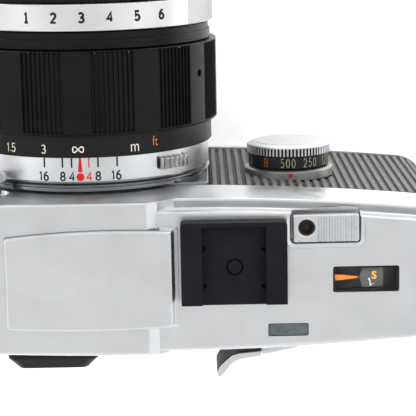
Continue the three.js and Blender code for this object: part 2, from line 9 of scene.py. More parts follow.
import bmesh
import bpy
from mathutils import Matrix, Vector


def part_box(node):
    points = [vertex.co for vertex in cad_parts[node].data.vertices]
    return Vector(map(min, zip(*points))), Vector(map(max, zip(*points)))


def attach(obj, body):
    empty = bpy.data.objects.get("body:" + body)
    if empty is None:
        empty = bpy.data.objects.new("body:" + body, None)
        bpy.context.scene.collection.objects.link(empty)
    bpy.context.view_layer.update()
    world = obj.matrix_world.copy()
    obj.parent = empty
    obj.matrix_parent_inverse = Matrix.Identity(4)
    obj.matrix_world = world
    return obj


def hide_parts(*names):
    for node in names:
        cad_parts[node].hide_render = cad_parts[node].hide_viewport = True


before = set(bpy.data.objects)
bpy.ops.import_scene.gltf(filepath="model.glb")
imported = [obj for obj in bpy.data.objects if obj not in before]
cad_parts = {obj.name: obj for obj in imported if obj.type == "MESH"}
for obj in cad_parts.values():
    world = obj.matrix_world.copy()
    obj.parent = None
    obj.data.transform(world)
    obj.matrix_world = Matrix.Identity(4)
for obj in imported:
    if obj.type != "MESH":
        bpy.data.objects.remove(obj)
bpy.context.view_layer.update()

MM = 0.001
MOUNT_RING_SETBACK = 0.15      # the mount ring starts this far behind the flange plane
FLANGE_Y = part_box("lens_mount_ring")[0].y / MM - MOUNT_RING_SETBACK
TO_ROW = Matrix.Scale(MM, 4) @ Matrix.Translation((0, FLANGE_Y, 0))
FAR = 200.0
TURN = 2 * math.pi


class Span:
    """A CAD node's box in camera millimetres."""

    def __init__(self, node):
        low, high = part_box(node)
        self.x0, self.y0, self.z0 = low.x / MM, low.y / MM - FLANGE_Y, low.z / MM
        self.x1, self.y1, self.z1 = high.x / MM, high.y / MM - FLANGE_Y, high.z / MM
        self.x, self.y, self.z = (self.x0 + self.x1) / 2, (self.y0 + self.y1) / 2, (self.z0 + self.z1) / 2
        self.radius = (self.z1 - self.z0) / 2
        self.plan_radius = (self.x1 - self.x0) / 2
        self.upright = about_z(self.x, self.y)
        self.forward = about_y(self.x, self.z)


# ------------------------------------------------------------------ mesh kit

def solid(points, faces):
    """A closed mesh object in camera millimetres, with its normals outwards."""
    mesh = bpy.data.meshes.new("solid")
    mesh.from_pydata([tuple(p) for p in points], [], faces)
    work = bmesh.new()
    work.from_mesh(mesh)
    bmesh.ops.remove_doubles(work, verts=work.verts, dist=1e-4)
    bmesh.ops.dissolve_degenerate(work, edges=work.edges, dist=1e-5)
    bmesh.ops.recalc_face_normals(work, faces=work.faces)
    work.to_mesh(mesh)
    work.free()
    thing = bpy.data.objects.new("solid", mesh)
    bpy.context.scene.collection.objects.link(thing)
    return thing


def loft(rings, capped=True):
    """Skins a stack of closed outlines that all have the same number of points."""
    count = len(rings[0])
    points = [p for ring in rings for p in ring]
    faces = []
    for level in range(len(rings) - 1):
        near = level * count
        far = near + count
        for i in range(count):
            j = (i + 1) % count
            faces.append((near + i, near + j, far + j, far + i))
    if capped:
        faces.append(tuple(reversed(range(count))))
        faces.append(tuple(range(len(points) - count, len(points))))
    else:
        last = len(points) - count
        faces += [(last + i, last + (i + 1) % count, (i + 1) % count, i) for i in range(count)]
    return solid(points, faces)


def rounded(points, radius, steps=3):
    """A closed outline with its corners turned into arcs; radius is one number or one for each corner."""
    radii = radius if isinstance(radius, (list, tuple)) else [radius] * len(points)
    result = []
    for i, (point, wanted) in enumerate(zip(points, radii)):
        here = Vector(point)
        back = Vector(points[i - 1]) - here
        ahead = Vector(points[(i + 1) % len(points)]) - here
        turn = back.angle(ahead)
        if wanted <= 0 or turn > math.pi - 0.08:
            result.append(tuple(here))
            continue
        reach = min(wanted / math.tan(turn / 2), back.length * 0.48, ahead.length * 0.48)
        start = here + back.normalized() * reach
        end = here + ahead.normalized() * reach
        for k in range(steps + 1):
            t = k / steps
            result.append(tuple(start * (1 - t) ** 2 + here * (2 * t * (1 - t)) + end * t ** 2))
    return result


def rectangle(x0, x1, y0, y1, radius, steps=5):
    return rounded([(x0, y0), (x1, y0), (x1, y1), (x0, y1)], radius, steps)


def circle(x, y, radius, steps=48):
    return [(x + radius * math.cos(TURN * i / steps), y + radius * math.sin(TURN * i / steps))
            for i in range(steps)]


def fillet_levels(z0, z1, bottom, top, steps=3):
    """(height, inset) pairs that round the lower and upper edge of an upright block."""
    levels = []
    if bottom > 0:
        for k in range(steps):
            a = math.pi / 2 * k / steps
            levels.append((z0 + bottom * (1 - math.cos(a)), bottom * (1 - math.sin(a))))
    levels.append((z0 + bottom, 0.0))
    levels.append((z1 - top, 0.0))
    if top > 0:
        for k in range(1, steps + 1):
            a = math.pi / 2 * k / steps
            levels.append((z1 - top + top * math.sin(a), top * (1 - math.cos(a))))
    return levels


def prism(plan_at, z0, z1, bottom=0.0, top=0.0, steps=3):
    """An upright block over plan_at(inset), with its lower and upper edges rounded."""
    return loft([[(x, y, z) for x, y in plan_at(inset)]
                 for z, inset in fillet_levels(z0, z1, bottom, top, steps)])


def stack(plan_at, levels):
    """An upright shape from (height, inset) levels."""
    return loft([[(x, y, z) for x, y in plan_at(inset)] for z, inset in levels])


def box(x0, x1, y0, y1, z0, z1, round_edges=0.0, corner=0.0):
    """A block with rounded upright corners and rounded upper and lower edges."""
    corner = max(corner, round_edges)
    if corner == 0:
        return prism(lambda inset: [(x0, y0), (x1, y0), (x1, y1), (x0, y1)], z0, z1)
    return prism(lambda inset: rectangle(x0 + inset, x1 - inset, y0 + inset, y1 - inset,
                                         max(corner - inset, 0.02)), z0, z1, round_edges, round_edges)


def along_y(outline, y0, y1):
    """An outline in x and z, carried from y0 to y1."""
    return loft([[(x, y, z) for x, z in outline] for y in (y0, y1)])


def about_y(x, z):
    """Places (radius, angle, height) round an axis along Y. Angle 0 is at the top and grows towards -X."""
    return lambda r, a, h: (x - r * math.sin(a), h, z + r * math.cos(a))


def about_z(x, y):
    return lambda r, a, h: (x - r * math.sin(a), y - r * math.cos(a), h)


def lathe(place, profile, segments=144, shape=None, angles=None):
    """Turns a closed (radius, height) outline. shape(radius, angle, height) may change the radius."""
    angles = angles or [TURN * i / segments for i in range(segments)]
    return loft([[place(shape(r, a, h) if shape and r > 0 else r, a, h) for a in angles] for r, h in profile],
                capped=False)


def rod(place, radius, h0, h1, edge=0.0, segments=64, steps=3):
    profile = [(0, h0), (radius, h0), (radius, h1), (0, h1)]
    return lathe(place, rounded(profile, [0, edge, edge, 0], steps), segments)


def tube(place, inner, outer, h0, h1, edge=0.1, segments=144, steps=2):
    return lathe(place, rounded([(inner, h0), (outer, h0), (outer, h1), (inner, h1)], edge, steps), segments)


def applied(thing):
    """Replaces an object's mesh by what its modifiers make of it."""
    bpy.context.view_layer.update()
    graph = bpy.context.evaluated_depsgraph_get()
    mesh = bpy.data.meshes.new_from_object(thing.evaluated_get(graph), preserve_all_data_layers=True,
                                           depsgraph=graph)
    thing.modifiers.clear()
    thing.data = mesh
    return thing


def discard(things):
    for thing in things:
        bpy.data.objects.remove(thing)


def combined(operation, base, tools):
    for tool in tools:
        modifier = base.modifiers.new("boolean", "BOOLEAN")
        modifier.operation = operation
        modifier.solver = "EXACT"
        modifier.object = tool
    applied(base)
    discard(tools)
    return base


def cut(base, *tools):
    return combined("DIFFERENCE", base, tools)


def joined(base, *tools):
    return combined("UNION", base, tools)


def common(base, *tools):
    return combined("INTERSECT", base, tools)


def together(*things):
    """One object out of several separate closed shapes."""
    work = bmesh.new()
    for thing in things:
        work.from_mesh(thing.data)
    mesh = bpy.data.meshes.new("together")
    work.to_mesh(mesh)
    work.free()
    discard(things)
    whole = bpy.data.objects.new("together", mesh)
    bpy.context.scene.collection.objects.link(whole)
    return whole


def softened(thing, width, angle=30, segments=2):
    """Dissolves flat seams, then bevels every edge sharper than angle."""
    work = bmesh.new()
    work.from_mesh(thing.data)
    bmesh.ops.remove_doubles(work, verts=work.verts, dist=1e-3)
    bmesh.ops.dissolve_limit(work, angle_limit=math.radians(0.5), verts=work.verts, edges=work.edges)
    work.to_mesh(thing.data)
    work.free()
    modifier = thing.modifiers.new("bevel", "BEVEL")
    modifier.width = width
    modifier.segments = segments
    modifier.limit_method = "ANGLE"
    modifier.angle_limit = math.radians(angle)
    modifier.use_clamp_overlap = False
    return applied(thing)


def copied(node):
    """A CAD node's mesh in camera millimetres, as a start for a finer piece."""
    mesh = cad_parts[node].data.copy()
    mesh.transform(TO_ROW.inverted())
    mesh.materials.clear()
    work = bmesh.new()
    work.from_mesh(mesh)
    bmesh.ops.remove_doubles(work, verts=work.verts, dist=1e-3)
    work.to_mesh(mesh)
    work.free()
    thing = bpy.data.objects.new(node, mesh)
    bpy.context.scene.collection.objects.link(thing)
    return thing


def piece(thing, name, body, material, stands_for=(), crease=34):
    """Turns a shape in camera millimetres into a finished piece that rides on a CAD body."""
    thing.name = name
    thing.data.name = name
    thing.data.transform(TO_ROW)
    thing.data.shade_smooth()
    thing.data.set_sharp_from_angle(angle=math.radians(crease))
    weighted = thing.modifiers.new("normals", "WEIGHTED_NORMAL")
    weighted.keep_sharp = True
    applied(thing)
    thing.data.materials.clear()
    thing.data.materials.append(material)
    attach(thing, body)
    if stands_for:
        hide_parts(*stands_for)
    return thing


# ------------------------------------------------------------------ lettering

LETTER_THICKNESS = 0.03
BEND_STEP = 0.3                # flat letters are divided this often, so that they can bend
PAINT_DEPTH = 0.02             # how far a painted mark reaches into its ring

def lettering(text, height, place, squeeze, weight):
    """Raised figures. place(u, v, w) bends the flat text onto a surface: u right, v up and w outwards."""
    curve = bpy.data.curves.new("text", "FONT")
    curve.body = text
    curve.align_x = "CENTER"
    curve.resolution_u = 6
    curve.offset = weight
    curve.extrude = 0.01
    source = bpy.data.objects.new("text", curve)
    bpy.context.scene.collection.objects.link(source)
    bpy.context.view_layer.update()
    graph = bpy.context.evaluated_depsgraph_get()
    mesh = bpy.data.meshes.new_from_object(source.evaluated_get(graph), depsgraph=graph)
    discard([source])
    ys = [v.co.y for v in mesh.vertices]
    xs = [v.co.x for v in mesh.vertices]
    scale = height / (max(ys) - min(ys))
    mid_x, mid_y = (max(xs) + min(xs)) / 2, (max(ys) + min(ys)) / 2
    work = bmesh.new()
    work.from_mesh(mesh)
    bmesh.ops.remove_doubles(work, verts=work.verts, dist=1e-5)
    for vert in work.verts:
        vert.co.x = (vert.co.x - mid_x) * scale * squeeze
        vert.co.y = (vert.co.y - mid_y) * scale
        vert.co.z = LETTER_THICKNESS / 2 if vert.co.z > 0 else -LETTER_THICKNESS / 2
    reach = (max(xs) - min(xs)) / 2 * scale * squeeze
    column = -reach + BEND_STEP
    while column < reach:
        geometry = work.verts[:] + work.edges[:] + work.faces[:]
        bmesh.ops.bisect_plane(work, geom=geometry, plane_co=(column, 0, 0), plane_no=(1, 0, 0), dist=1e-5)
        column += BEND_STEP
    for vert in work.verts:
        vert.co = place(*vert.co)
    work.to_mesh(mesh)
    work.free()
    thing = bpy.data.objects.new("text", mesh)
    bpy.context.scene.collection.objects.link(thing)
    return thing


def arc(cx, cy, rx, ry, start, end, steps=14):
    """Points of an ellipse; angles in degrees, 0 to the right and 90 up."""
    return [(cx + rx * math.cos(math.radians(start + (end - start) * i / steps)),
             cy + ry * math.sin(math.radians(start + (end - start) * i / steps))) for i in range(steps + 1)]


# Engraved figures one unit high, as pen strokes, with their widths.
FIGURES = {
    "0": (0.56, [arc(0.28, 0.5, 0.28, 0.5, 0, 360, 28)]),
    "1": (0.34, [[(0.04, 0.8), (0.2, 1.0), (0.2, 0.0)]]),
    "2": (0.54, [arc(0.27, 0.72, 0.25, 0.28, 165, -35) + [(0.02, 0.0), (0.54, 0.0)]]),
    "3": (0.54, [arc(0.25, 0.75, 0.24, 0.25, 150, -80) + arc(0.25, 0.27, 0.28, 0.27, 80, -150)]),
    "4": (0.6, [[(0.44, 0.0), (0.44, 1.0), (0.02, 0.3), (0.6, 0.3)]]),
    "5": (0.54, [[(0.5, 1.0), (0.1, 1.0), (0.06, 0.52)] + arc(0.25, 0.31, 0.28, 0.31, 130, -150)]),
    "6": (0.56, [arc(0.5, 0.42, 0.46, 0.58, 95, 172, 8) + arc(0.28, 0.3, 0.26, 0.3, 170, -190, 24)]),
    "8": (0.56, [arc(0.28, 0.75, 0.22, 0.25, -90, 270, 24), arc(0.28, 0.26, 0.27, 0.26, 90, 450, 24)]),
    ".": (0.1, [[(0.05, 0.03), (0.05, 0.12)]]),
    "B": (0.54, [[(0.06, 0.0), (0.06, 1.0)] + arc(0.26, 0.76, 0.24, 0.24, 90, -90, 10)
                 + [(0.06, 0.52), (0.24, 0.52)] + arc(0.24, 0.26, 0.28, 0.26, 90, -90, 10) + [(0.06, 0.0)]]),
}
FOOTED_ONE = (0.44, [[(0.06, 0.84), (0.24, 1.0), (0.24, 0.0)], [(0.04, 0.0), (0.44, 0.0)]])


def closed_band(rings):
    """Skins four-cornered sections that come back round to the first one."""
    count = len(rings)
    points = [p for ring in rings for p in ring]
    faces = []
    for i in range(count):
        near, far = 4 * i, 4 * ((i + 1) % count)
        for k in range(4):
            m = (k + 1) % 4
            faces.append((near + k, near + m, far + m, far + k))
    return solid(points, faces)


def stroke(points, pen, place, top, bottom=-0.03):
    """One pen stroke with square corners, as a closed band laid onto a surface by place(u, v, w)."""
    line = [Vector(p) for i, p in enumerate(points)
            if i == 0 or (Vector(p) - Vector(points[i - 1])).length > 1e-4]
    closed = (line[0] - line[-1]).length < 1e-3
    if closed:
        line.pop()
    rings = []
    last = len(line) - 1
    for i, here in enumerate(line):
        back = here - line[i - 1] if closed or i > 0 else line[1] - here
        ahead = line[(i + 1) % len(line)] - here if closed or i < last else here - line[i - 1]
        back, ahead = back.normalized(), ahead.normalized()
        across = Vector((-back.y - ahead.y, back.x + ahead.x))
        if across.length < 0.2:
            across = Vector((-ahead.y, ahead.x))
        across.normalize()
        reach = pen / 2 / max(0.6, abs(across.dot(Vector((-ahead.y, ahead.x)))))
        left, right = here + across * reach, here - across * reach
        rings.append([place(left.x, left.y, bottom), place(right.x, right.y, bottom),
                      place(right.x, right.y, top), place(left.x, left.y, top)])
    if closed:
        return closed_band(rings)
    return loft(rings)


def figures(text, height, place, pen=0.26, squeeze=1.0, gap=0.2, footed=False):
    """Digits drawn with a pen of even width, centred on the place."""
    glyphs = [FOOTED_ONE if footed and c == "1" else FIGURES[c] for c in text]
    scale = height - pen
    total = sum(width for width, _ in glyphs) + gap * (len(glyphs) - 1)
    start = -total / 2
    strokes = []
    for width, lines in glyphs:
        for line in lines:
            moved = [((start + x) * scale * squeeze, (y - 0.5) * scale) for x, y in line]
            strokes.append(stroke(moved, pen, place, 0.03 + 0.002 * len(strokes)))
        start += width + gap
    return together(*strokes)


def on_ring(x, z, radius, angle, y, lift=0.0):
    """Text on the outside of a ring about Y, upright when seen from above with the lens pointing up."""
    def place(u, v, w):
        a = angle + u / radius
        r = radius + lift + w
        return (x - r * math.sin(a), y - v, z + r * math.cos(a))
    return place


def on_deck(x, y, z, turn=0.0):
    cos, sin = math.cos(math.radians(turn)), math.sin(math.radians(turn))
    return lambda u, v, w: (x - u * cos + v * sin, y - u * sin - v * cos, z + w)


# ------------------------------------------------------------------ finishes

def shade(code):
    """A linear colour from its usual hexadecimal code."""
    def channel(value):
        value /= 255
        return value / 12.92 if value <= 0.04045 else ((value + 0.055) / 1.055) ** 2.4
    return (channel(code >> 16 & 255), channel(code >> 8 & 255), channel(code & 255), 1.0)


class Graph:
    """A material's node tree, written one node at a time."""

    def __init__(self, name, slot):
        self.material = bpy.data.materials.new(name)
        self.material.use_nodes = True
        self.material["slot"] = slot
        self.tree = self.material.node_tree
        self.shader = self.tree.nodes["Principled BSDF"]
        self.coords = self.tree.nodes.new("ShaderNodeTexCoord").outputs["Object"]

    def node(self, kind, settings=None, **inputs):
        made = self.tree.nodes.new(kind)
        for key, value in (settings or {}).items():
            setattr(made, key, value)
        for key, value in inputs.items():
            socket = made.inputs[int(key[1:])] if key[0] == "_" else made.inputs[key.replace("_", " ")]
            self.feed(socket, value)
        return made

    def feed(self, socket, value):
        if isinstance(value, bpy.types.NodeSocket):
            self.tree.links.new(value, socket)
        else:
            socket.default_value = value

    def noise(self, scale, detail=3.0, stretch=(1, 1, 1), roughness=0.55):
        moved = self.node("ShaderNodeMapping", Vector=self.coords, Scale=stretch).outputs["Vector"]
        return self.node("ShaderNodeTexNoise", Vector=moved, Scale=scale, Detail=detail,
                         Roughness=roughness).outputs["Fac"]

    def ramp(self, value, low, high, out_low=0.0, out_high=1.0):
        return self.node("ShaderNodeMapRange", Value=value, From_Min=low, From_Max=high, To_Min=out_low,
                         To_Max=out_high).outputs["Result"]

    def math(self, operation, a, b=0.0):
        return self.node("ShaderNodeMath", {"operation": operation}, _0=a, _1=b).outputs["Value"]

    def mix(self, factor, a, b):
        made = self.node("ShaderNodeMix", {"data_type": "RGBA"}, _0=factor)
        self.feed(made.inputs[6], a)
        self.feed(made.inputs[7], b)
        return made.outputs[2]

    def specks(self, scale, size, share):
        """1 in a few small scattered dots, 0 elsewhere."""
        cells = self.node("ShaderNodeTexVoronoi", Vector=self.coords, Scale=scale)
        chosen = self.math("GREATER_THAN", cells.outputs["Color"], 1 - share)
        return self.math("MULTIPLY", self.math("LESS_THAN", cells.outputs["Distance"], size), chosen)

    def bump(self, height, depth, normal=None):
        made = self.node("ShaderNodeBump", Height=height, Distance=depth * MM, Strength=1.0)
        if normal:
            self.feed(made.inputs["Normal"], normal)
        return made.outputs["Normal"]


def finish(name, slot, dark, light, roughness, metallic=0.0, patch=160, grain=5000, depth=0.004, spread=0.05,
           lines=None, dots=None, attribute=None, specular=0.5):
    """A slightly uneven finish, with wear.

    dark and light are the colours it wanders between, grain and depth its fine texture, lines = (axis, depth)
    turning marks, dots = (colour, scale, size, share) pits or dust, attribute = (name, colour) a colour laid
    down where the mesh says so: real chips, and painted shade in grooves, gaps and knurls.
    """
    g = Graph(name, slot)
    wander = g.noise(patch, 4)
    colour = g.mix(g.ramp(wander, 0.3, 0.7), shade(dark), shade(light))
    fine = g.noise(grain, 2)
    normal = g.bump(fine, depth)
    if lines:
        axis, line_depth = lines
        stretch = [0.02, 0.02, 0.02]
        stretch["xyz".index(axis)] = 1
        marks = g.noise(9000, 2, stretch)
        normal = g.bump(marks, line_depth, normal)
        colour = g.mix(g.ramp(marks, 0.2, 0.8, 0.0, 0.25), colour, shade(dark))
    if dots:
        dot_colour, scale, size, share = dots
        colour = g.mix(g.specks(scale, size, share), colour, shade(dot_colour))
    if attribute:
        mask = g.node("ShaderNodeAttribute", {"attribute_name": attribute[0]}).outputs["Fac"]
        colour = g.mix(mask, colour, shade(attribute[1]))
    rub = g.noise(patch * 3.1, 5)
    g.feed(g.shader.inputs["Base Color"], colour)
    g.feed(g.shader.inputs["Roughness"], g.ramp(rub, 0.25, 0.75, roughness - spread, roughness + spread))
    g.feed(g.shader.inputs["Normal"], normal)
    g.shader.inputs["Metallic"].default_value = metallic
    g.shader.inputs["Specular IOR Level"].default_value = specular
    return g.material


def ink_finish(name, slot, dark, light, roughness=0.5, patch=900, depth=0.003, specular=0.2):
    """Matt paint for figures and marks."""
    return finish(name + "_finish", slot, dark, light, roughness, patch=patch, grain=6000, depth=depth,
                  specular=specular)


def glass_finish(name, slot, dark, light, roughness=0.04, ior=1.5, transmission=1.0):
    g = Graph(name, slot)
    wander = g.noise(60, 3)
    g.feed(g.shader.inputs["Base Color"], g.mix(g.ramp(wander, 0.3, 0.7), shade(dark), shade(light)))
    g.feed(g.shader.inputs["Roughness"], g.ramp(g.noise(900, 3), 0.3, 0.75, roughness, roughness + 0.05))
    g.shader.inputs["IOR"].default_value = ior
    g.shader.inputs["Transmission Weight"].default_value = transmission
    return g.material


SATIN = finish("satin_chrome_finish", "satin_chrome", 0xdcddde, 0xe6e7e8, 0.34, 1.0, patch=90, grain=5200,
               depth=0.0035, dots=(0x8d8e90, 420, 0.035, 0.12))
SATIN_DIAL = finish("turned_satin_finish", "satin_chrome", 0xd2d3d4, 0xdfe0e1, 0.33, 1.0, patch=120,
                    grain=4200, depth=0.003, lines=("y", 0.003), dots=(0x2a2a2a, 260, 0.05, 0.14))
# The dial's finish darkens the gaps between its teeth: painted shade.
DIAL_CHROME = finish("dial_chrome_finish", "satin_chrome", 0xc6c7c7, 0xd0d2d2, 0.36, 1.0, patch=120,
                     grain=4800, depth=0.004, dots=(0x6c6c6a, 900, 0.1, 0.25), attribute=("gap", 0x2e2c2a))
# The aperture ring's finish darkens its knurled grip band: painted shade in the knurl.
APERTURE_SATIN = finish("aperture_ring_finish", "satin_chrome", 0xe4e4e2, 0xefefed, 0.42, 1.0, patch=110,
                        grain=4200, depth=0.003, lines=("y", 0.002), dots=(0x55524e, 300, 0.05, 0.2),
                        attribute=("worn", 0xa9a9a7))
# A darker, bluer copy of the satin chrome: painted shade and a painted blue-grey reflection on the front
# plate.
APRON_SHADED_CHROME = finish("apron_finish", "satin_chrome", 0x8e9399, 0x9ea3a9, 0.3, 1.0, patch=110, grain=5200,
               depth=0.003)
POLISHED = finish("polished_finish", "polished_metal", 0x77797c, 0x8e8f91, 0.15, 1.0, patch=220, grain=3000,
                  depth=0.0012, spread=0.05, lines=("y", 0.0015), dots=(0x3a3a3a, 700, 0.06, 0.1))
BRUSHED = finish("tab_finish", "polished_metal", 0x8a8987, 0xc9c8c6, 0.28, 1.0, patch=500, grain=6000,
                 depth=0.004, dots=(0x2c2a28, 1500, 0.16, 0.3))
LACQUER = finish("black_anodised_finish", "black_lacquer", 0x0a0909, 0x100e0f, 0.32, 0.0, patch=140,
                 grain=5200, depth=0.0016, spread=0.07, lines=("y", 0.0012), dots=(0x5a5753, 650, 0.03, 0.05),
                 specular=0.15)
GRIP = finish("grip_finish", "black_lacquer", 0x090808, 0x0e0d0d, 0.36, 0.0, patch=160, grain=5200,
              depth=0.003, spread=0.08, dots=(0x55524e, 800, 0.05, 0.06), attribute=("chipped", 0x6d6a65),
              specular=0.15)
SCALE_BLACK = finish("scale_black_finish", "scale_black", 0x0f0e0e, 0x151313, 0.38, 0.0, patch=160,
                     grain=5200, depth=0.002, spread=0.06, lines=("y", 0.001),
                     dots=(0x4c4946, 600, 0.03, 0.05), specular=0.18)
DIAL_BLACK = finish("dial_black_finish", "black_lacquer", 0x0a0909, 0x100f0e, 0.42, 0.0, patch=300,
                    grain=5200, depth=0.002, dots=(0x45433f, 900, 0.05, 0.08), specular=0.3)
BUTTON_CHROME = finish("button_chrome_finish", "satin_chrome", 0xd8d9da, 0xe6e7e8, 0.34, 1.0, patch=300,
                       grain=4200, depth=0.008, dots=(0x77787a, 1300, 0.14, 0.3))
# A darker copy of the satin chrome: painted shade on the dial's base under the cap.
DIAL_BASE_SHADED_CHROME = finish("dial_base_finish", "satin_chrome", 0x8f8f8d, 0xadadab, 0.4, 1.0, patch=400,
                          grain=3600, depth=0.01, dots=(0x5a5a58, 1100, 0.12, 0.25))
SCALE_CHROME = finish("scale_chrome_finish", "satin_chrome", 0xe0e1e2, 0xecedee, 0.36, 1.0, patch=120,
                      grain=4200, depth=0.003, lines=("y", 0.002), dots=(0x2a2a2a, 260, 0.05, 0.14))
COUNTER_BLACK = finish("counter_black_finish", "black_lacquer", 0x1e1e1e, 0x252525, 0.5, 0.0, patch=300,
                       grain=5200, depth=0.002, specular=0.2)
# Dark brown for the cable socket's thread and floor: painted shade down the hole.
HOLE_SHADE_BROWN = finish("cable_socket_finish", "black_lacquer", 0x17110c, 0x2a2018, 0.5, 0.2, patch=700,
                    grain=5200, depth=0.006, specular=0.3)
SHOE_BLACK = finish("shoe_finish", "black_plastic", 0x0e0e12, 0x141418, 0.5, 0.0, patch=200, grain=4200,
                    depth=0.004, lines=("y", 0.02), dots=(0x3d3c40, 620, 0.04, 0.06), specular=0.12)
# Black plastic also paints the shade on the advance lever's inner face.
BLACK_PLASTIC_AND_SHADE = finish("black_plastic_finish", "black_plastic", 0x0c0c0e, 0x121214, 0.45, 0.0, patch=200,
                 grain=4600, depth=0.008, dots=(0x3a393c, 620, 0.04, 0.05), specular=0.25)
# The covering's grooves are painted dark: painted shade between the ribs.
COVERING = finish("covering_finish", "covering", 0x54524f, 0x787572, 0.55, 0.0, patch=900, grain=2300,
                  depth=0.05, spread=0.08, dots=(0x454341, 1500, 0.28, 0.6), attribute=("groove", 0x161514),
                  specular=0.4)
CASTING = finish("casting_finish", "dark_casting", 0x1e1e20, 0x2d2d30, 0.62, 0.2, patch=120, grain=1800,
                 depth=0.02, spread=0.08, dots=(0x77787a, 500, 0.05, 0.08))
DOOR = finish("door_metal_finish", "door_metal", 0x242426, 0x303033, 0.5, 0.3, patch=100, grain=2600,
              depth=0.01, dots=(0x8a8a8c, 420, 0.04, 0.07))
BRASS = finish("brass_finish", "brass", 0x9a7a3e, 0xc09a58, 0.32, 1.0, patch=260, grain=4200, depth=0.004,
               dots=(0x4e3b1c, 500, 0.08, 0.2))
TITANIUM = finish("titanium_finish", "titanium", 0x3f3f42, 0x5b5b5e, 0.4, 0.9, patch=90, grain=5200,
                  depth=0.002, lines=("x", 0.001))
# Black ink also paints the shadow round the preview tab.
BLACK_INK_AND_SHADE = ink_finish("black_ink", "black_lacquer", 0x100f10, 0x1c1a1b, depth=0.002)
RED_INK = ink_finish("red_ink", "orange_paint", 0x9c160d, 0xb02016)
DARK_RED_INK = ink_finish("dark_red_ink", "orange_paint", 0x6e0e08, 0x8c1910, 0.45, specular=0.3)
CREAM_INK = ink_finish("cream_ink", "scale_black", 0xaca796, 0xccc6b4, 0.55, 1400)
DULL_CREAM_INK = ink_finish("dull_cream_ink", "scale_black", 0x6e674e, 0x8f876c, 0.55, 1400)
ORANGE_INK = ink_finish("orange_ink", "orange_paint", 0xa65a16, 0xc87222)
DULL_ORANGE_INK = ink_finish("dull_orange_ink", "orange_paint", 0x74440a, 0x935a12, 0.55)
WHITE_INK = ink_finish("white_ink", "scale_black", 0xe2e2e2, 0xf2f2f2)
NEEDLE_ORANGE = ink_finish("needle_orange", "orange_paint", 0xee7a20, 0xff9138)
YELLOW_INK = ink_finish("yellow_ink", "orange_paint", 0xe6b23e, 0xf8cc58)
# Grey ink also paints the shadow line round the finder plate's foot.
GREY_INK_AND_SHADOW = ink_finish("grey_ink", "scale_black", 0x5a5a5a, 0x646464)
GLASS = glass_finish("optical_glass_finish", "optical_glass", 0xd6e6ea, 0xeef6f8)
COATED = glass_finish("coated_glass_finish", "optical_glass", 0xb8a6d8, 0xd8c8f0, 0.02)
WINDOW = glass_finish("window_finish", "optical_glass", 0xf2f2f0, 0xfafaf8, 0.06, 1.12)
METER_GLASS = finish("meter_window_finish", "optical_glass", 0x3a4245, 0x4b5356, 0.3, 0.0, patch=900,
                     grain=2600, depth=0.004, specular=0.4)
SILVERED = finish("mirror_finish", "polished_metal", 0xdfe0e2, 0xeaebec, 0.05, 1.0, patch=90, grain=3000,
                  depth=0.0004, spread=0.02)


# ------------------------------------------------------------------ where the frame puts things

LENS = Span("focus_ring")
COVER = Span("top_cover")
TRAY = Span("bottom_cover")
BODY_HALF = (Span("front_covering_left").x1 - Span("front_covering_right").x0) / 2
MID_Y = 17.2                   # the middle of the body's depth
HALF_DEPTH = 15.9
FRONT_BULGE = 0.0009
BACK_BULGE = 0.0007
END_ROUND = 7.5
WALL = (TRAY.z1 + 0.5, COVER.z0 - 0.3)
LEDGE_Z = 64.0
DECK_Z = 67.3
HOUSING_Z = 68.3
SIDE_DECK_Z = 60.5


def plan(inset, front=0.0, back=0.0, stations=24, corner_steps=10):
    """The body seen from above: nearly flat faces that curve in towards rounded ends."""
    end_x = BODY_HALF - END_ROUND
    r = max(END_ROUND - inset, 1)

    def front_y(x):
        return MID_Y - (HALF_DEPTH - FRONT_BULGE * x * x) + inset + front

    def back_y(x):
        return MID_Y + (HALF_DEPTH - BACK_BULGE * x * x) - inset - back

    def corner(cx, cy, start, last=corner_steps):
        angles = [start + math.pi / 2 * i / corner_steps for i in range(1, last + 1)]
        return [(cx + r * math.cos(a), cy + r * math.sin(a)) for a in angles]

    xs = [-end_x + 2 * end_x * i / stations for i in range(stations + 1)]
    points = [(x, front_y(x)) for x in xs]
    points += corner(end_x, front_y(end_x) + r, -math.pi / 2)
    points += [(end_x + r, back_y(end_x) - r)]
    points += corner(end_x, back_y(end_x) - r, 0)
    points += [(x, back_y(x)) for x in reversed(xs[:-1])]
    points += corner(-end_x, back_y(end_x) - r, math.pi / 2)
    points += [(-end_x - r, front_y(end_x) + r)]
    points += corner(-end_x, front_y(end_x) + r, math.pi, corner_steps - 1)
    return points


# ------------------------------------------------------------------ covers

DECK_STEPS = ((62.4, -0.95), (63.15, -0.85), (63.3, -0.6), (63.55, -0.35), (64.0, -0.14), (64.7, -0.04),
              (65.3, 0.0), (65.62, 0.05), (65.8, 0.16), (65.88, 0.3), (65.9, 0.42), (65.98, 0.5),
              (66.3, 0.54), (66.8, 0.58), (67.02, 0.66), (67.17, 0.8), (67.26, 1.0), (DECK_Z, 1.3))


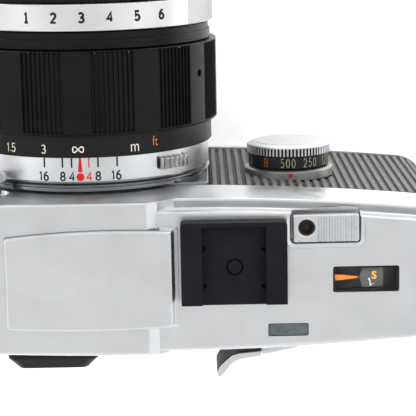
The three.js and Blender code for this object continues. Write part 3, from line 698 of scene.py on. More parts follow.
def make_top_cover():
    lens_hole = rod(LENS.forward, 21.6, 0, 6, segments=144)
    low = prism(lambda i: plan(0.1 + i), COVER.z0, LEDGE_Z, 0.2, 0.45, 4)
    low = cut(low, box(33.5, FAR, -FAR, FAR, SIDE_DECK_Z, FAR))
    channel = prism(lambda i: plan(0.75 + i), 63.15, LEDGE_Z + 3, 0.75, 0, 5)
    low = cut(low, cut(channel, box(-2.5, FAR, -FAR, FAR, -FAR, FAR), box(-FAR, FAR, MID_Y, FAR, -FAR, FAR)))
    deck = stack(lambda i: plan(0.3 + max(i, 0), 1.35 + min(i, 0), -0.1 + min(i, 0) * 0.1), DECK_STEPS)
    deck = cut(deck, box(0.4, FAR, -FAR, FAR, -FAR, FAR))
    profile = rounded([(-4.8, 52), (-4.8, 64.2), (-1.2, DECK_Z), (1.0, HOUSING_Z), (31.8, HOUSING_Z),
                       (33.5, 65.2), (33.5, 52)], [0, 1.6, 1.0, 1.1, 0.8, 1.2, 0], 6)

    def housing_plan(inset):
        return [(x, y - FRONT_BULGE * min(max(x, 0), 34) ** 2 if y < MID_Y else y)
                for x, y in plan(0.1 + inset)]
    housing = common(along_y(profile, -2, 40), prism(housing_plan, 50, HOUSING_Z, 0, 0.8, 5))
    shell = joined(low, deck, housing)

    room = prism(lambda i: plan(1.9), COVER.z0 - 1, 62.2)
    room = cut(room, box(32.3, FAR, -FAR, FAR, SIDE_DECK_Z - 1.3, FAR))
    button = Span("shutter_button")
    well = box(button.x0 - 2.2, button.x1 + 2.2, -FAR, button.y1 + 2.2, -FAR, FAR)
    deck_room = cut(prism(lambda i: plan(1.9, 2.6), 61, DECK_Z - 1.2), box(-3, FAR, -FAR, FAR, -FAR, FAR),
                    well)
    inner = [(-3.3, 52), (-3.3, 63.5), (0, 67.1), (29.4, 67.1), (32.2, 63.5), (32.2, 52)]
    housing_room = common(along_y(inner, 3, 40), prism(lambda i: plan(1.5), 52, FAR))
    flare = 0.9
    notch = stack(lambda i: rectangle(button.x0 - 0.35 - i, button.x1 + 0.35 + i, 3.9, button.y1 + 0.35 + i,
                                      0.9 + i),
                  ((LEDGE_Z - 0.5, 0), (66.6, 0), (66.95, 0.08), (67.15, 0.3), (67.28, flare), (FAR, flare)))
    slot = cut(box(-FAR, -26, 16.5, FAR, 58.6, 62), prism(lambda i: plan(1.6), 50, 70))
    window = Span("counter_glass")
    meter = Span("meter_window")
    rewind = Span("rewind_knob")
    release = Span("lens_release_button")
    eyepiece = Span("eyepiece_frame")
    shell = cut(shell, room, deck_room, housing_room, notch, slot,
                box(window.x0 - 0.1, window.x1 + 0.1, window.y0 - 0.1, window.y1 + 0.1, 65.5, 68.5, 0, 0.5),
                box(meter.x0 - 0.1, meter.x1 + 0.1, meter.y0 - 0.1, meter.y1 + 0.1, 65.5, 68.5, 0, 0.35),
                rod(about_z(-31, 7.3), 1.8, 60, 66), rod(eyepiece.forward, 6.6, 28, 36),
                rod(rewind.upright, 3.4, 57, 62), rod(release.forward, 1.9, 0, 6),
                rod(release.forward, 4.0, -5, MID_Y - HALF_DEPTH + FRONT_BULGE * release.x ** 2 + 0.1),
                lens_hole)
    shell = softened(shell, 0.12, 38)
    return piece(shell, "top_cover_shell", "camera_body", SATIN, ["top_cover"])


def make_finder_plate():
    """A pressed plate whose edge rolls down in a soft curve, wider along its front."""
    span = Span("finder_top_plate")
    left, right, front, back = -5.35, 29.75, 6.6, 27.2
    columns = 24

    def outline(inset):
        x0, x1 = left + inset, right - inset * 0.35
        y0, y1 = front + inset * 0.65, back - inset * 0.35
        points = []
        for i in range(columns + 1):
            t = i / columns
            points.append((x0 + (x1 - x0) * t,
                           y0 - 0.45 * math.sin(math.pi * t) ** 0.8 + 1.1 * t * t - 0.3 * t))
        for i in range(columns + 1):
            t = i / columns
            points.append((x1 + (x0 - x1) * t, y1 + 0.6 * math.sin(math.pi * t) ** 0.8))
        radii = [0.0] * len(points)
        for corner in (0, columns, columns + 1, 2 * columns + 1):
            radii[corner] = 1.7
        return rounded(points, radii, 5)

    top = span.z1
    plate = stack(outline, ((67.34, 0), (67.5, 0.05), (67.53, 0.75), (67.65, 0.98), (68.2, 1.04), (68.9, 1.1),
                            (69.2, 1.25), (69.34, 1.5), (69.44, 1.95), (top, 2.6)))
    slope = along_y([(-5.6, 60), (-5.6, 67.35), (-2, 67.35), (-0.7, HOUSING_Z + 0.04), (0, 60)], 0, 40)
    under = joined(box(-1.6, FAR, -FAR, FAR, 60, HOUSING_Z + 0.04), slope)
    plate = cut(plate, under)
    # A thin grey band round the plate's foot on the housing: painted shadow where the plate meets the deck.
    shadow_line = cut(prism(lambda i: outline(0.85), HOUSING_Z - 0.1, HOUSING_Z + 0.03),
               box(-FAR, -1.4, -FAR, FAR, 60, FAR))
    piece(shadow_line, "finder_plate_seam", "camera_body", GREY_INK_AND_SHADOW)
    return piece(softened(plate, 0.05, 40), "finder_plate", "camera_body", SATIN, ["finder_top_plate"],
                 crease=50)


def make_tray():
    tray = prism(lambda i: plan(i - 0.3), TRAY.z0, TRAY.z1, 0.9, 0.15, 4)
    battery = Span("battery_cover")
    socket = Span("tripod_socket")
    button = Span("rewind_release_button")
    tray = cut(tray, prism(lambda i: plan(1.8), 1.0, 5), rod(socket.upright, socket.plan_radius + 0.3, -1, 4),
               rod(battery.upright, battery.plan_radius + 0.3, -1, 4),
               rod(button.upright, button.plan_radius + 0.3, -1, 4))
    piece(softened(tray, 0.12, 40), "bottom_tray", "camera_body", SATIN, ["bottom_cover"])

    lid = rod(battery.upright, 8, battery.z0, 0.95, 0.25, 96)
    lid = joined(lid, rod(battery.upright, 7, 0.8, 2.9, 0.1, 96))
    lid = cut(lid, box(battery.x - 6.5, battery.x + 6.5, battery.y - 0.8, battery.y + 0.8, -1, 0.6, 0.0, 0.7),
              lathe(battery.upright, [(7.1, -1), (7.3, -1), (7.3, 0.2), (7.1, 0.2)], 96))
    piece(softened(lid, 0.08, 40), "battery_lid", "camera_body", SATIN_DIAL, ["battery_cover"])

    thread = [(5, 0.1), (5, 3), (3.35, 3)]
    turns = 4
    for i in range(turns):
        z = 2.9 - i * 0.68
        thread += [(3.35, z), (3.1, z - 0.34)]
    thread += [(3.35, 0.15), (3.5, 0.1)]
    piece(lathe(socket.upright, thread, 96), "tripod_thread", "camera_body", BRASS, ["tripod_socket"])

    stud = rod(button.upright, button.plan_radius, button.z0, button.z1, 0.3, 48)
    piece(stud, "rewind_button", "rewind_release_button", SATIN_DIAL, ["rewind_release_button"])


def ribbed_wall(points, z0, z1, thickness=0.85, pitch=1.82, groove=0.78, depth=0.42):
    """A covering that follows an open line in plan, with upright ribs. Its outer face is the line itself."""
    line = [Vector(p) for p in points]
    lengths = [0.0]
    for a, b in zip(line, line[1:]):
        lengths.append(lengths[-1] + (b - a).length)
    total = lengths[-1]
    ribs = max(1, round(total / pitch))
    step = total / ribs
    half = groove / 2 / step
    inside_rib = [(0.0, 1.0), (half * 0.75, 1.0), (half, 0.6), (half * 1.12, 0.12), (half * 1.5, 0.0),
                  (0.5, 0.0), (1 - half * 1.5, 0.0), (1 - half * 1.12, 0.12), (1 - half, 0.6),
                  (1 - half * 0.75, 1.0)]
    stops = [((k + t) * step, level) for k in range(ribs) for t, level in inside_rib] + [(total, 1.0)]
    outer, inner = [], []
    segment = 0
    for distance, level in stops:
        while segment < len(line) - 2 and lengths[segment + 1] < distance:
            segment += 1
        a, b = line[segment], line[segment + 1]
        t = (distance - lengths[segment]) / (lengths[segment + 1] - lengths[segment])
        here = a.lerp(b, t)
        ahead = (b - a).normalized()
        normal = Vector((ahead.y, -ahead.x))
        outer.append((here, normal, level))
        inner.append(here - normal * thickness)
    rings = []
    for z, tuck in ((z0, 0.25), (z0 + 0.12, 0.08), (z0 + 0.3, 0.0), (z1 - 0.3, 0.0), (z1 - 0.12, 0.08),
                    (z1, 0.25)):
        ring = []
        for here, normal, level in outer:
            p = here - normal * min(level * depth + tuck, thickness - 0.1)
            ring.append((p.x, p.y, z))
        ring += [(p.x, p.y, z) for p in reversed(inner)]
        rings.append(ring)
    wall = loft(rings)
    count = len(stops)
    levels = [level for _, level in stops] + [0.0] * count
    # The groove mark is 1 at the bottoms of the grooves, where the finish paints shade between the ribs.
    mark = wall.data.attributes.new("groove", "FLOAT", "POINT")
    values = [levels[i % (2 * count)] for i in range(len(wall.data.vertices))]
    mark.data.foreach_set("value", values)
    return wall


def body_line(start, end, step=0.5):
    """The body's outline, counter-clockwise from the point nearest start to the point nearest end."""
    corners = [Vector(p) for p in plan(0.0, stations=48, corner_steps=16)]
    loop = []
    for a, b in zip(corners, corners[1:] + corners[:1]):
        parts = max(1, round((b - a).length / step))
        loop += [a.lerp(b, i / parts) for i in range(parts)]
    first, last = (min(range(len(loop)), key=lambda i: (loop[i] - Vector(target)).length)
                   for target in (start, end))
    return [loop[(first + k) % len(loop)] for k in range((last - first) % len(loop) + 1)]


def make_coverings():
    right_edge, left_edge, end = LENS.x - 26, LENS.x + 26, BODY_HALF
    dial = Span("speed_dial_base")
    right = ribbed_wall(body_line((-end, 22.6), (right_edge, 2)), *WALL)
    right = cut(right, rod(dial.forward, dial.radius + 0.05, 0, 4, segments=96))
    piece(right, "covering_right", "camera_body", COVERING, ["front_covering_right"])
    left = ribbed_wall(body_line((left_edge, 2), (end, 25.1)), *WALL)
    left = cut(left, box(60, FAR, 20.6, 22.4, 18.4, 28))
    piece(left, "covering_left", "camera_body", COVERING, ["front_covering_left"])
    back = ribbed_wall(body_line((end, 25.6), (-end, 26.4)), *WALL)
    piece(back, "covering_back", "back_door", COVERING, ["door_covering"])


# ------------------------------------------------------------------ deck pieces

def make_shoe():
    span = Span("accessory_shoe")
    mid = (span.x0 + span.x1) / 2
    slot_half, channel_half, wall = 6.35, 9.35, 0.8
    floor_z, rail_back = 68.2, span.y1 - 0.6

    def whole_plan(inset):
        return rectangle(span.x0 + inset, span.x1 - inset, span.y0 + inset, span.y1 - inset, 0.8)
    rails = cut(
        prism(whole_plan, span.z0, span.z1 - 0.04, 0.05, 0.2, 3),
        box(-FAR, FAR, rail_back, FAR, 60, FAR),
        box(mid - channel_half, mid + channel_half, span.y0 + wall - 0.3, FAR, 60, 70.1),
        box(mid - slot_half, mid + slot_half, span.y0 + wall + 0.1, FAR, 69, FAR))
    piece(softened(rails, 0.07, 40), "shoe_rails", "camera_body", SHOE_BLACK, ["accessory_shoe"])
    base = box(mid - channel_half - 0.1, mid + channel_half + 0.1, span.y0 + wall - 0.4, span.y1 - 0.05,
               span.z0 + 0.05, floor_z, 0.06, 0.1)
    notches = []
    for side, y in ((1, 11.3), (-1, 11.5), (1, 18.9), (-1, 19.1)):
        x = mid + side * (slot_half - 0.35)
        bite = rounded([(x + side * 0.8, y - 0.7), (x - side * 0.35, y - 0.7), (x - side * 0.6, y - 0.1),
                        (x + side * 0.8, y + 0.75)], 0.15)
        notches.append(loft([[(px, py, z) for px, py in bite] for z in (span.z0 + 0.1, floor_z + 1)]))
    below = span.z0 + 0.12
    groove = [(1.36, below), (1.74, below), (1.74, floor_z + 1), (1.36, floor_z + 1)]
    base = cut(base, lathe(about_z(mid - 0.15, 14.85), groove, 64), *notches)
    piece(base, "shoe_floor", "camera_body", SHOE_BLACK)


def make_button():
    span = Span("shutter_button")
    top = span.z1
    socket_x, socket_y, bore, rim = -31.0, 7.3, 1.6, 1.95
    cap = box(span.x0, span.x1, span.y0, span.y1, 65.6, top, 0.22, 0.45)
    socket = lathe(about_z(socket_x, socket_y),
                   [(0, 66.0), (bore, 66.0), (bore, top - 0.24), (rim, top + 0.02), (rim, FAR), (0, FAR)], 64)
    grooves = []
    for i in range(7):
        x = -33.62 - i * 1.09
        grooves.append(along_y([(x - 0.42, top + 0.1), (x - 0.3, top - 0.3), (x, top - 0.48),
                                (x + 0.26, top - 0.3), (x + 0.38, top + 0.1)], span.y0 + 0.35, FAR))
    cap = cut(joined(cap, rod(about_z(socket_x, socket_y), 1.4, 60.5, 66)), socket, *grooves)
    piece(softened(cap, 0.06, 30), "release_cap", "shutter_button", BUTTON_CHROME, ["shutter_button"])
    # The thread and the bore's floor are dark brown: painted shade down the socket.
    threads = [(bore - 0.04, 66.1), (bore - 0.04, top - 0.22), (bore - 0.12, top - 0.3)]
    for i in range(4):
        z = top - 0.36 - i * 0.24
        threads += [(bore - 0.3, z), (bore - 0.14, z - 0.12)]
    threads += [(bore - 0.34, 66.1)]
    piece(lathe(about_z(socket_x, socket_y), threads, 64), "cable_thread", "shutter_button", HOLE_SHADE_BROWN)
    pin = joined(rod(about_z(socket_x, socket_y), bore - 0.3, 66.02, 66.2, 0.05, 48),
                 rod(about_z(socket_x, socket_y), 0.35, 66.1, 66.6, 0.1, 24))
    piece(pin, "cable_bore", "shutter_button", HOLE_SHADE_BROWN)


def make_counter():
    glass = Span("counter_glass")
    dial = Span("counter_dial")
    ring_plan = rectangle(glass.x0 - 0.08, glass.x1 + 0.08, glass.y0 - 0.08, glass.y1 + 0.08, 0.5)
    frame_ring = prism(lambda i: ring_plan, 66.12, 67.1)
    frame_ring = cut(frame_ring,
                     box(glass.x0 + 0.3, glass.x1 - 0.3, glass.y0 + 0.3, glass.y1 - 0.3, 60, FAR, 0, 0.35))
    piece(softened(frame_ring, 0.05, 40), "counter_window_frame", "camera_body", DIAL_BLACK)
    pane = box(glass.x0 + 0.05, glass.x1 - 0.05, glass.y0 + 0.05, glass.y1 - 0.05, glass.z1 - 0.28, glass.z1,
               0.06, 0.4)
    piece(pane, "counter_pane", "camera_body", WINDOW, ["counter_glass"])

    plate = rod(dial.upright, dial.plan_radius, 64.6, dial.z1, 0.08, 128)
    plate = joined(plate, rod(dial.upright, 1.2, 63, 64.8, 0.05, 32))
    piece(plate, "counter_disc", "counter_dial", COUNTER_BLACK, ["counter_dial"])
    pentagon = [(-41.75, 18.15), (-42.3, 16.1), (-46.6, 16.1), (-46.55, 20.15), (-42.45, 20.25)]
    mark = loft([[(x, y, z) for x, y in rounded(pentagon, 0.12)] for z in (dial.z1 - 0.02, dial.z1 + 0.04)])
    piece(mark, "counter_mark", "counter_dial", GREY_INK_AND_SHADOW)
    letter = lettering("S", 1.7, on_deck(-44.75, 17.75, dial.z1 + 0.06), 1.0, 0.035)
    piece(letter, "counter_letter", "counter_dial", YELLOW_INK)
    figure = figures("1.", 1.6, on_deck(-44.1, 19.1, dial.z1 + 0.06, 12), 0.28, footed=True)
    piece(figure, "counter_figure", "counter_dial", WHITE_INK)

    needle = Span("counter_pointer")
    tip, root = -41.5, glass.x1 + 2
    y = needle.y
    flat = rounded([(root, y - 0.78), (root, y + 0.78), (-38.6, y + 0.52), (tip, y + 0.1), (tip, y - 0.1),
                    (-38.6, y - 0.52)], [0, 0, 0.8, 0.08, 0.08, 0.8])
    arrow = loft([[(x, y + (v - y) * s, z) for x, v in flat]
                  for z, s in ((needle.z0, 1.0), (needle.z0 + 0.2, 1.0), (needle.z1 - 0.05, 0.75))])
    piece(arrow, "counter_needle", "camera_body", NEEDLE_ORANGE, ["counter_pointer"])

    window = Span("meter_window")
    pane = box(window.x0, window.x1, window.y0, window.y1, window.z0, window.z1, 0.08, 0.3)
    piece(pane, "meter_pane", "camera_body", METER_GLASS, ["meter_window"])


def make_lever():
    arm = softened(copied("advance_lever"), 0.32, 35, 3)
    piece(arm, "lever_arm", "advance_lever", SATIN, ["advance_lever"], crease=40)
    shaft = Span("advance_shaft")
    piece(rod(shaft.upright, shaft.plan_radius, shaft.z0, shaft.z1, 0.2, 64), "lever_shaft", "advance_lever",
          POLISHED, ["advance_shaft"])
    # A thin black strip along the finger's inner face: painted shade where the metal lever faces the body.
    face = [(-22, 34.3), (-17.3, 34.7), (-15.9, 35.2), (-14.6, 36.3), (-13.5, 37.3), (-12.75, 38.6)]
    shade_outline = face + [(x, y - 0.22) for x, y in reversed(face)]
    shade_strip = stack(lambda i: shade_outline, ((50.8, 0), (61.5, 0)))
    piece(softened(shade_strip, 0.05, 40), "lever_lining", "advance_lever", BLACK_PLASTIC_AND_SHADE)


def make_eyepiece():
    span = Span("eyepiece_frame")
    x, z = span.x, span.z

    def ring_at(y, half_x, half_z, radius):
        return [(px, y, pz)
                for px, pz in rectangle(x - half_x, x + half_x, z - half_z, z + half_z, radius, 6)]
    back = span.y1
    levels = [(32.95, 9.3, 7.2, 2.4), (33.9, 9.3, 7.2, 2.4), (34.05, 9.22, 7.14, 2.35),
              (34.2, 9.05, 7.05, 2.3), (back - 0.45, 7.5, 6.05, 1.9), (back - 0.2, 7.3, 5.93, 1.85),
              (back - 0.05, 7.12, 5.8, 1.75), (back, 6.9, 5.65, 1.6)]
    body = joined(loft([ring_at(*level) for level in levels]), rod(about_y(x, z), 6.3, 30.2, 33.2, 0.05, 96))
    bore = lathe(about_y(x, z),
                 [(0, 29), (5.4, 29), (5.4, back - 0.3), (5.75, back + 0.05), (5.75, 40), (0, 40)], 96)
    piece(cut(body, bore), "eyepiece_surround", "camera_body", BLACK_PLASTIC_AND_SHADE, ["eyepiece_frame"], crease=40)
    piece(lathe(about_y(x, z),
                [(0, 33), (2.6, 33.1), (5.2, 33.4), (5.25, 34.5), (4, 34.85), (2, 35.1), (0, 35.2)], 96),
          "eyepiece_glass", "camera_body", COATED, ["eyepiece_lens"])


def knurl(teeth, depth, sharpness=0.5):
    """Teeth round a ring: 0 on the crests, -depth in the gaps."""
    def change(a):
        wave = math.cos(a * teeth)
        return -depth * (0.5 - 0.5 * max(-1.0, min(1.0, wave / sharpness)))
    return change


def make_rewind():
    span = Span("rewind_knob")
    centre = span.upright
    radius = span.plan_radius
    teeth = knurl(72, 0.22, 0.6)
    profile = rounded([(0, 61), (radius, 61), (radius, 64.1), (radius - 0.8, 65), (radius - 2.2, 65),
                       (radius - 2.4, 64.8), (0, 64.8)], [0, 0.25, 0.2, 0.2, 0.08, 0.05, 0], 3)
    knob = lathe(centre, profile, 72 * 6,
                 lambda r, a, h: r + (teeth(a) if r > radius - 0.3 and 61.3 < h < 64.2 else 0))
    piece(knob, "rewind_wheel", "rewind_knob", SATIN_DIAL, ["rewind_knob"])
    fork = softened(copied("rewind_fork"), 0.12, 40)
    piece(fork, "rewind_drive", "rewind_knob", POLISHED, ["rewind_fork"])

    crank = Span("rewind_crank")
    x, y = span.x, span.y
    arm = box(x - 7.9, x + 6.9, y - 2.6, y + 2.6, 65.3, 66.5, 0.3, 2.0)
    arm = cut(arm, box(x - 2.2, x + 3.2, y - 1.1, y + 1.1, 66.1, 67, 0, 1.0))
    hinge = rod(about_y(x + 7.1, 65.9), 0.6, y - 2.6, y + 2.6, 0.1, 32)
    grip = rod(about_z(x - 5, y), 2.3, 66.4, crank.z1, 0.35, 96)
    piece(together(softened(arm, 0.06, 40), hinge, grip), "crank_arm", "rewind_crank", SATIN,
          ["rewind_crank"])


def make_lugs():
    for node, side in (("strap_lug_left", 1), ("strap_lug_right", -1)):
        span = Span(node)
        outer_x = span.x1 if side > 0 else -span.x0
        eye = outer_x - 3
        wall = BODY_HALF - 0.1
        y, z = span.y, span.z
        post = lathe(lambda r, a, h: (side * h, y + r * math.sin(a), z + r * math.cos(a)),
                     rounded([(0, wall), (2.4, wall), (2.4, wall + 0.5), (1.6, wall + 0.9), (1.25, eye - 2.0),
                              (0, eye - 2.0)], [0, 0.1, 0.15, 0.2, 0, 0], 3), 48)
        ring_points = []
        for i in range(20):
            a = TURN * i / 20
            ring_points.append((2.3 + 0.7 * math.cos(a), y + 0.9 * math.sin(a)))
        ring = lathe(about_y(side * eye, z), ring_points, 64)
        piece(together(post, ring), node.replace("strap_lug", "lug"), "camera_body", POLISHED, [node])


# ------------------------------------------------------------------ front controls

def make_speed_dial():
    cap = Span("speed_dial_cap")
    ring = Span("speed_dial_ring")
    base = Span("speed_dial_base")
    x, z = cap.x, cap.z
    centre = about_y(x, z)
    radius, face, top = cap.radius, 7.85, cap.y0
    teeth, cycle = 72, (0.0, -0.02, -0.3, -0.42, -0.3, -0.02)
    angles, depths = [], {}
    for tooth in range(teeth):
        for step, t in enumerate((0.0, 0.44, 0.52, 0.7, 0.88, 0.96)):
            a = TURN * (tooth + t) / teeth
            angles.append(a)
            depths[a] = cycle[step]
    profile = [(0, top), (face - 0.5, top), (face - 0.42, top + 0.1), (face - 0.26, top + 0.1),
               (face - 0.18, top + 0.02), (face - 0.05, top + 0.01), (face + 0.2, top + 0.1),
               (radius - 0.25, -4.62), (radius - 0.08, -4.5), (radius, -4.36), (radius, -4.25),
               (radius, -4.12), (radius, -3.6), (radius, cap.y1 + 0.12), (radius - 0.1, cap.y1), (0, cap.y1)]

    def toothed(r, a, h):
        if r < radius - 0.3 or h < -4.4:
            return r
        return r + depths[a] * min(1.0, (h + 4.4) / 0.2)
    wheel = lathe(centre, profile, shape=toothed, angles=angles)
    # The gap mark darkens the bottoms of the gaps between the teeth: painted shade.
    painted(wheel, "gap",
            lambda co: min(1.0, max(0.0, (radius - 0.05 - math.hypot(co.x - x, co.z - z)) / 0.25))
            if co.y > -4.35 else 0.0)
    piece(wheel, "dial_cap", "speed_dial", DIAL_CHROME, ["speed_dial_cap"])
    number_ring = rounded([(0, ring.y0), (8.75, ring.y0), (8.75, 0), (2, 0), (2, 1.3), (0, 1.3)],
                          [0, 0.08, 0.15, 0, 0.1, 0], 2)
    piece(lathe(centre, number_ring, 192), "dial_number_ring", "speed_dial", DIAL_BLACK, ["speed_dial_ring"])
    labels = ["B", "500", "250", "125", "60", "30", "15", "8", "4", "2", "1"]
    first, pitch = math.radians(-36.4), TURN / 11
    height = ring.y0 / 2 + 0.15
    for i, text in enumerate(labels):
        place = on_ring(x, z, 8.75, first + i * pitch, height, 0.01)
        ink = DULL_ORANGE_INK if text == "B" else DULL_CREAM_INK
        piece(figures(text, 1.95, place, 0.14, 0.9 if text == "B" else 0.68, 0.42), f"dial_number_{text}",
              "speed_dial", ink)
    flange = rounded([(2.4, base.y1), (2.4, base.y0), (9.0, base.y0), (base.radius, base.y0 + 0.3),
                      (base.radius, base.y1)], [0, 0, 0.15, 0.25, 0], 4)
    # The base's finish is darker chrome: painted shade under the dial cap.
    piece(lathe(centre, flange, 192), "dial_base", "camera_body", DIAL_BASE_SHADED_CHROME, ["speed_dial_base"])
    dot_place = on_ring(x, z, base.radius, math.radians(-0.35), 1.2)
    dot = loft([[dot_place(u, v, w) for u, v in circle(0, 0, 0.48, 32)] for w in (-0.2, 0.06)])
    piece(dot, "dial_index", "camera_body", DARK_RED_INK)


def make_front_buttons():
    span = Span("lens_release_button")
    x, z = span.x, span.z
    centre = about_y(x, z)
    teeth = knurl(40, 0.16, 0.5)
    profile = rounded([(0, span.y0), (3.3, span.y0), (3.5, span.y0 + 0.3), (3.5, span.y0 + 1.6),
                       (2.2, span.y0 + 1.9), (2.0, 0.1), (1.6, 0.1), (1.6, span.y1), (0, span.y1)],
                      [0, 0.3, 0.1, 0.2, 0.2, 0, 0, 0.1, 0], 3)
    knob = lathe(centre, profile, 240, lambda r, a, h: r + (teeth(a) if r > 3.42 else 0))
    piece(knob, "lens_catch", "lens_release_button", SATIN_DIAL, ["lens_release_button"])

    hub = Span("self_timer_hub")
    arm = Span("self_timer_lever")
    x, z = hub.x, hub.z
    disc = rounded([(0, hub.y0), (4.2, hub.y0), (4.6, hub.y0 + 0.4), (4.6, 2.7), (0, 2.7)],
                   [0, 0.3, 0.2, 0.1, 0], 3)
    piece(lathe(about_y(x, z), disc, 96), "timer_hub", "self_timer", SATIN_DIAL, ["self_timer_hub"])
    outline = rounded([(x - 2.1, arm.z0), (x + 2.1, arm.z0), (x + 2.6, arm.z0 + 3), (x + 2.2, z + 1),
                       (x + 2.6, arm.z1), (x - 2.6, arm.z1), (x - 2.2, z + 1), (x - 2.6, arm.z0 + 3)],
                      [2, 2, 1.5, 2, 2.4, 2.4, 2, 1.5], 5)
    paddle = softened(along_y(outline, arm.y0, arm.y1), 0.3, 40, 3)
    screw = rod(about_y(x, z), 1.5, arm.y0 - 0.001, arm.y0 + 0.5, 0.2, 48)
    slotted = cut(screw, box(x - 2, x + 2, arm.y0 - 1, arm.y0 + 0.25, z - 0.2, z + 0.2))
    piece(paddle, "timer_paddle", "self_timer", SATIN, ["self_timer_lever"])
    piece(slotted, "timer_screw", "self_timer", POLISHED)

    socket = Span("sync_socket")
    centre = socket.forward
    rings = rounded([(1.6, socket.y0), (2.2, socket.y0), (2.3, 2.0), (3, 2.1), (3, socket.y1),
                     (1.6, socket.y1)], [0.1, 0.15, 0.05, 0.2, 0.05, 0.05], 3)
    piece(lathe(centre, rings, 96), "sync_ring", "camera_body", POLISHED, ["sync_socket"])
    piece(rod(centre, 1.55, 2.2, 3.2, 0.05, 48), "sync_insulator", "camera_body", BLACK_PLASTIC_AND_SHADE)
    piece(tube(centre, 0.28, 0.5, 1.7, 2.3, 0.06, 32), "sync_contact", "camera_body", BRASS)


def make_front_plate():
    plate = softened(copied("front_plate"), 0.22, 50, 3)
    # The apron's finish paints shade and a blue-grey reflection onto the chrome.
    piece(plate, "apron", "camera_body", APRON_SHADED_CHROME, ["front_plate"])
    ring = Span("lens_mount_ring")
    profile = rounded([(21.3, ring.y0), (ring.radius, ring.y0), (ring.radius, ring.y1), (21.3, ring.y1)],
                      [0.1, 0.2, 0.1, 0.1], 4)
    piece(lathe(ring.forward, profile, 240), "mount_ring", "camera_body", POLISHED, ["lens_mount_ring"])


# ------------------------------------------------------------------ the lens

AXIS = LENS.forward
PANELS = 12
GROOVES = 9
PLAIN_HALF = math.radians(5.75)
PANEL_TURN = TURN / PANELS
FIRST_PLAIN = math.radians(-0.7)


def ring_text(text, height, radius, degrees, y, material, name, body, squeeze=0.85, weight=0.01):
    place = on_ring(LENS.x, LENS.z, radius, math.radians(degrees), y, 0.008)
    return piece(lettering(text, height, place, squeeze, weight), name, body, material)


def painted(thing, name, value_at):
    """Adds a mark to every point of a mesh, for its finish to read."""
    mark = thing.data.attributes.new(name, "FLOAT", "POINT")
    mark.data.foreach_set("value", [value_at(v.co) for v in thing.data.vertices])
    return thing


def ring_angle(co):
    """The angle from the top towards -X of a point given in camera millimetres."""
    return math.atan2(LENS.x - co.x, co.z - LENS.z)


def make_focus_ring():
    span = LENS
    crest, bottom = span.radius, span.radius - 0.62
    rib_pitch = (PANEL_TURN - 2 * PLAIN_HALF) / GROOVES
    angles, heights = [], {}
    for k in range(PANELS):
        middle = FIRST_PLAIN + k * PANEL_TURN
        for i in range(9):
            a = middle - PLAIN_HALF + 2 * PLAIN_HALF * i / 8
            angles.append(a)
            heights[a] = 1.0
        start = middle + PLAIN_HALF
        for g in range(GROOVES):
            for t, level in ((0.06, 0.75), (0.16, 0.08), (0.4, 0.0), (0.66, 0.08), (0.78, 0.75)):
                a = start + (g + t) * rib_pitch
                angles.append(a)
                heights[a] = level
            if g < GROOVES - 1:
                a = start + (g + 0.92) * rib_pitch
                angles.append(a)
                heights[a] = 0.93
    groove_start, groove_end = span.y0 + 0.22, span.y1 - 0.45

    def shape(r, a, h):
        if r < crest - 0.05:
            return r
        run = min(1.0, max(0.0, (h - groove_start) / 0.35), max(0.0, (groove_end - h) / 0.35))
        return r - (crest - bottom) * (1 - heights[a]) * run
    profile = [(22.6, span.y0), (crest - 0.3, span.y0), (crest - 0.12, span.y0 + 0.04),
               (crest, span.y0 + 0.16), (crest, groove_start), (crest, groove_start + 0.18),
               (crest, groove_start + 0.36), (crest, span.y0 + 0.8), (crest, span.y0 + 5),
               (crest, span.y0 + 9), (crest, span.y1 - 5), (crest, span.y1 - 1.1), (crest, groove_end - 0.36),
               (crest, groove_end - 0.18), (crest, groove_end), (crest, span.y1 - 0.28),
               (crest - 0.28, span.y1), (24.2, span.y1), (24.2, -26), (22.6, -26)]
    ring = lathe(AXIS, profile, shape=shape, angles=angles)
    hole_angle, hole_y = math.radians(60.3), -21.65
    out = Vector((-math.sin(hole_angle), 0, math.cos(hole_angle)))
    side = Vector((math.cos(hole_angle), 0, math.sin(hole_angle)))
    centre = Vector((LENS.x, hole_y, LENS.z))

    def across_ring(r, a, h):
        return tuple(centre + out * h + side * (r * math.cos(a)) + Vector((0, r * math.sin(a), 0)))
    hole = rod(across_ring, 0.8, 26.4, 29, segments=32)
    ring = cut(ring, hole)
    random.seed(11)
    chips = [(random.uniform(-math.pi, math.pi), random.uniform(0.001, 0.004)) for _ in range(40)]

    def chipped(co):
        a = ring_angle(co)
        in_row = abs(co.y - span.y0 - 0.4) < 0.1
        return 1.0 if in_row and any(abs(a - chip) < width for chip, width in chips) else 0.0
    painted(ring, "chipped", chipped)
    piece(ring, "focus_grip", "focus_ring", GRIP, ["focus_ring"], crease=28)
    pit = rod(across_ring, 0.78, 26.45, 26.9, 0.05, segments=32)
    piece(pit, "focus_screw", "focus_ring", BLACK_INK_AND_SHADE)


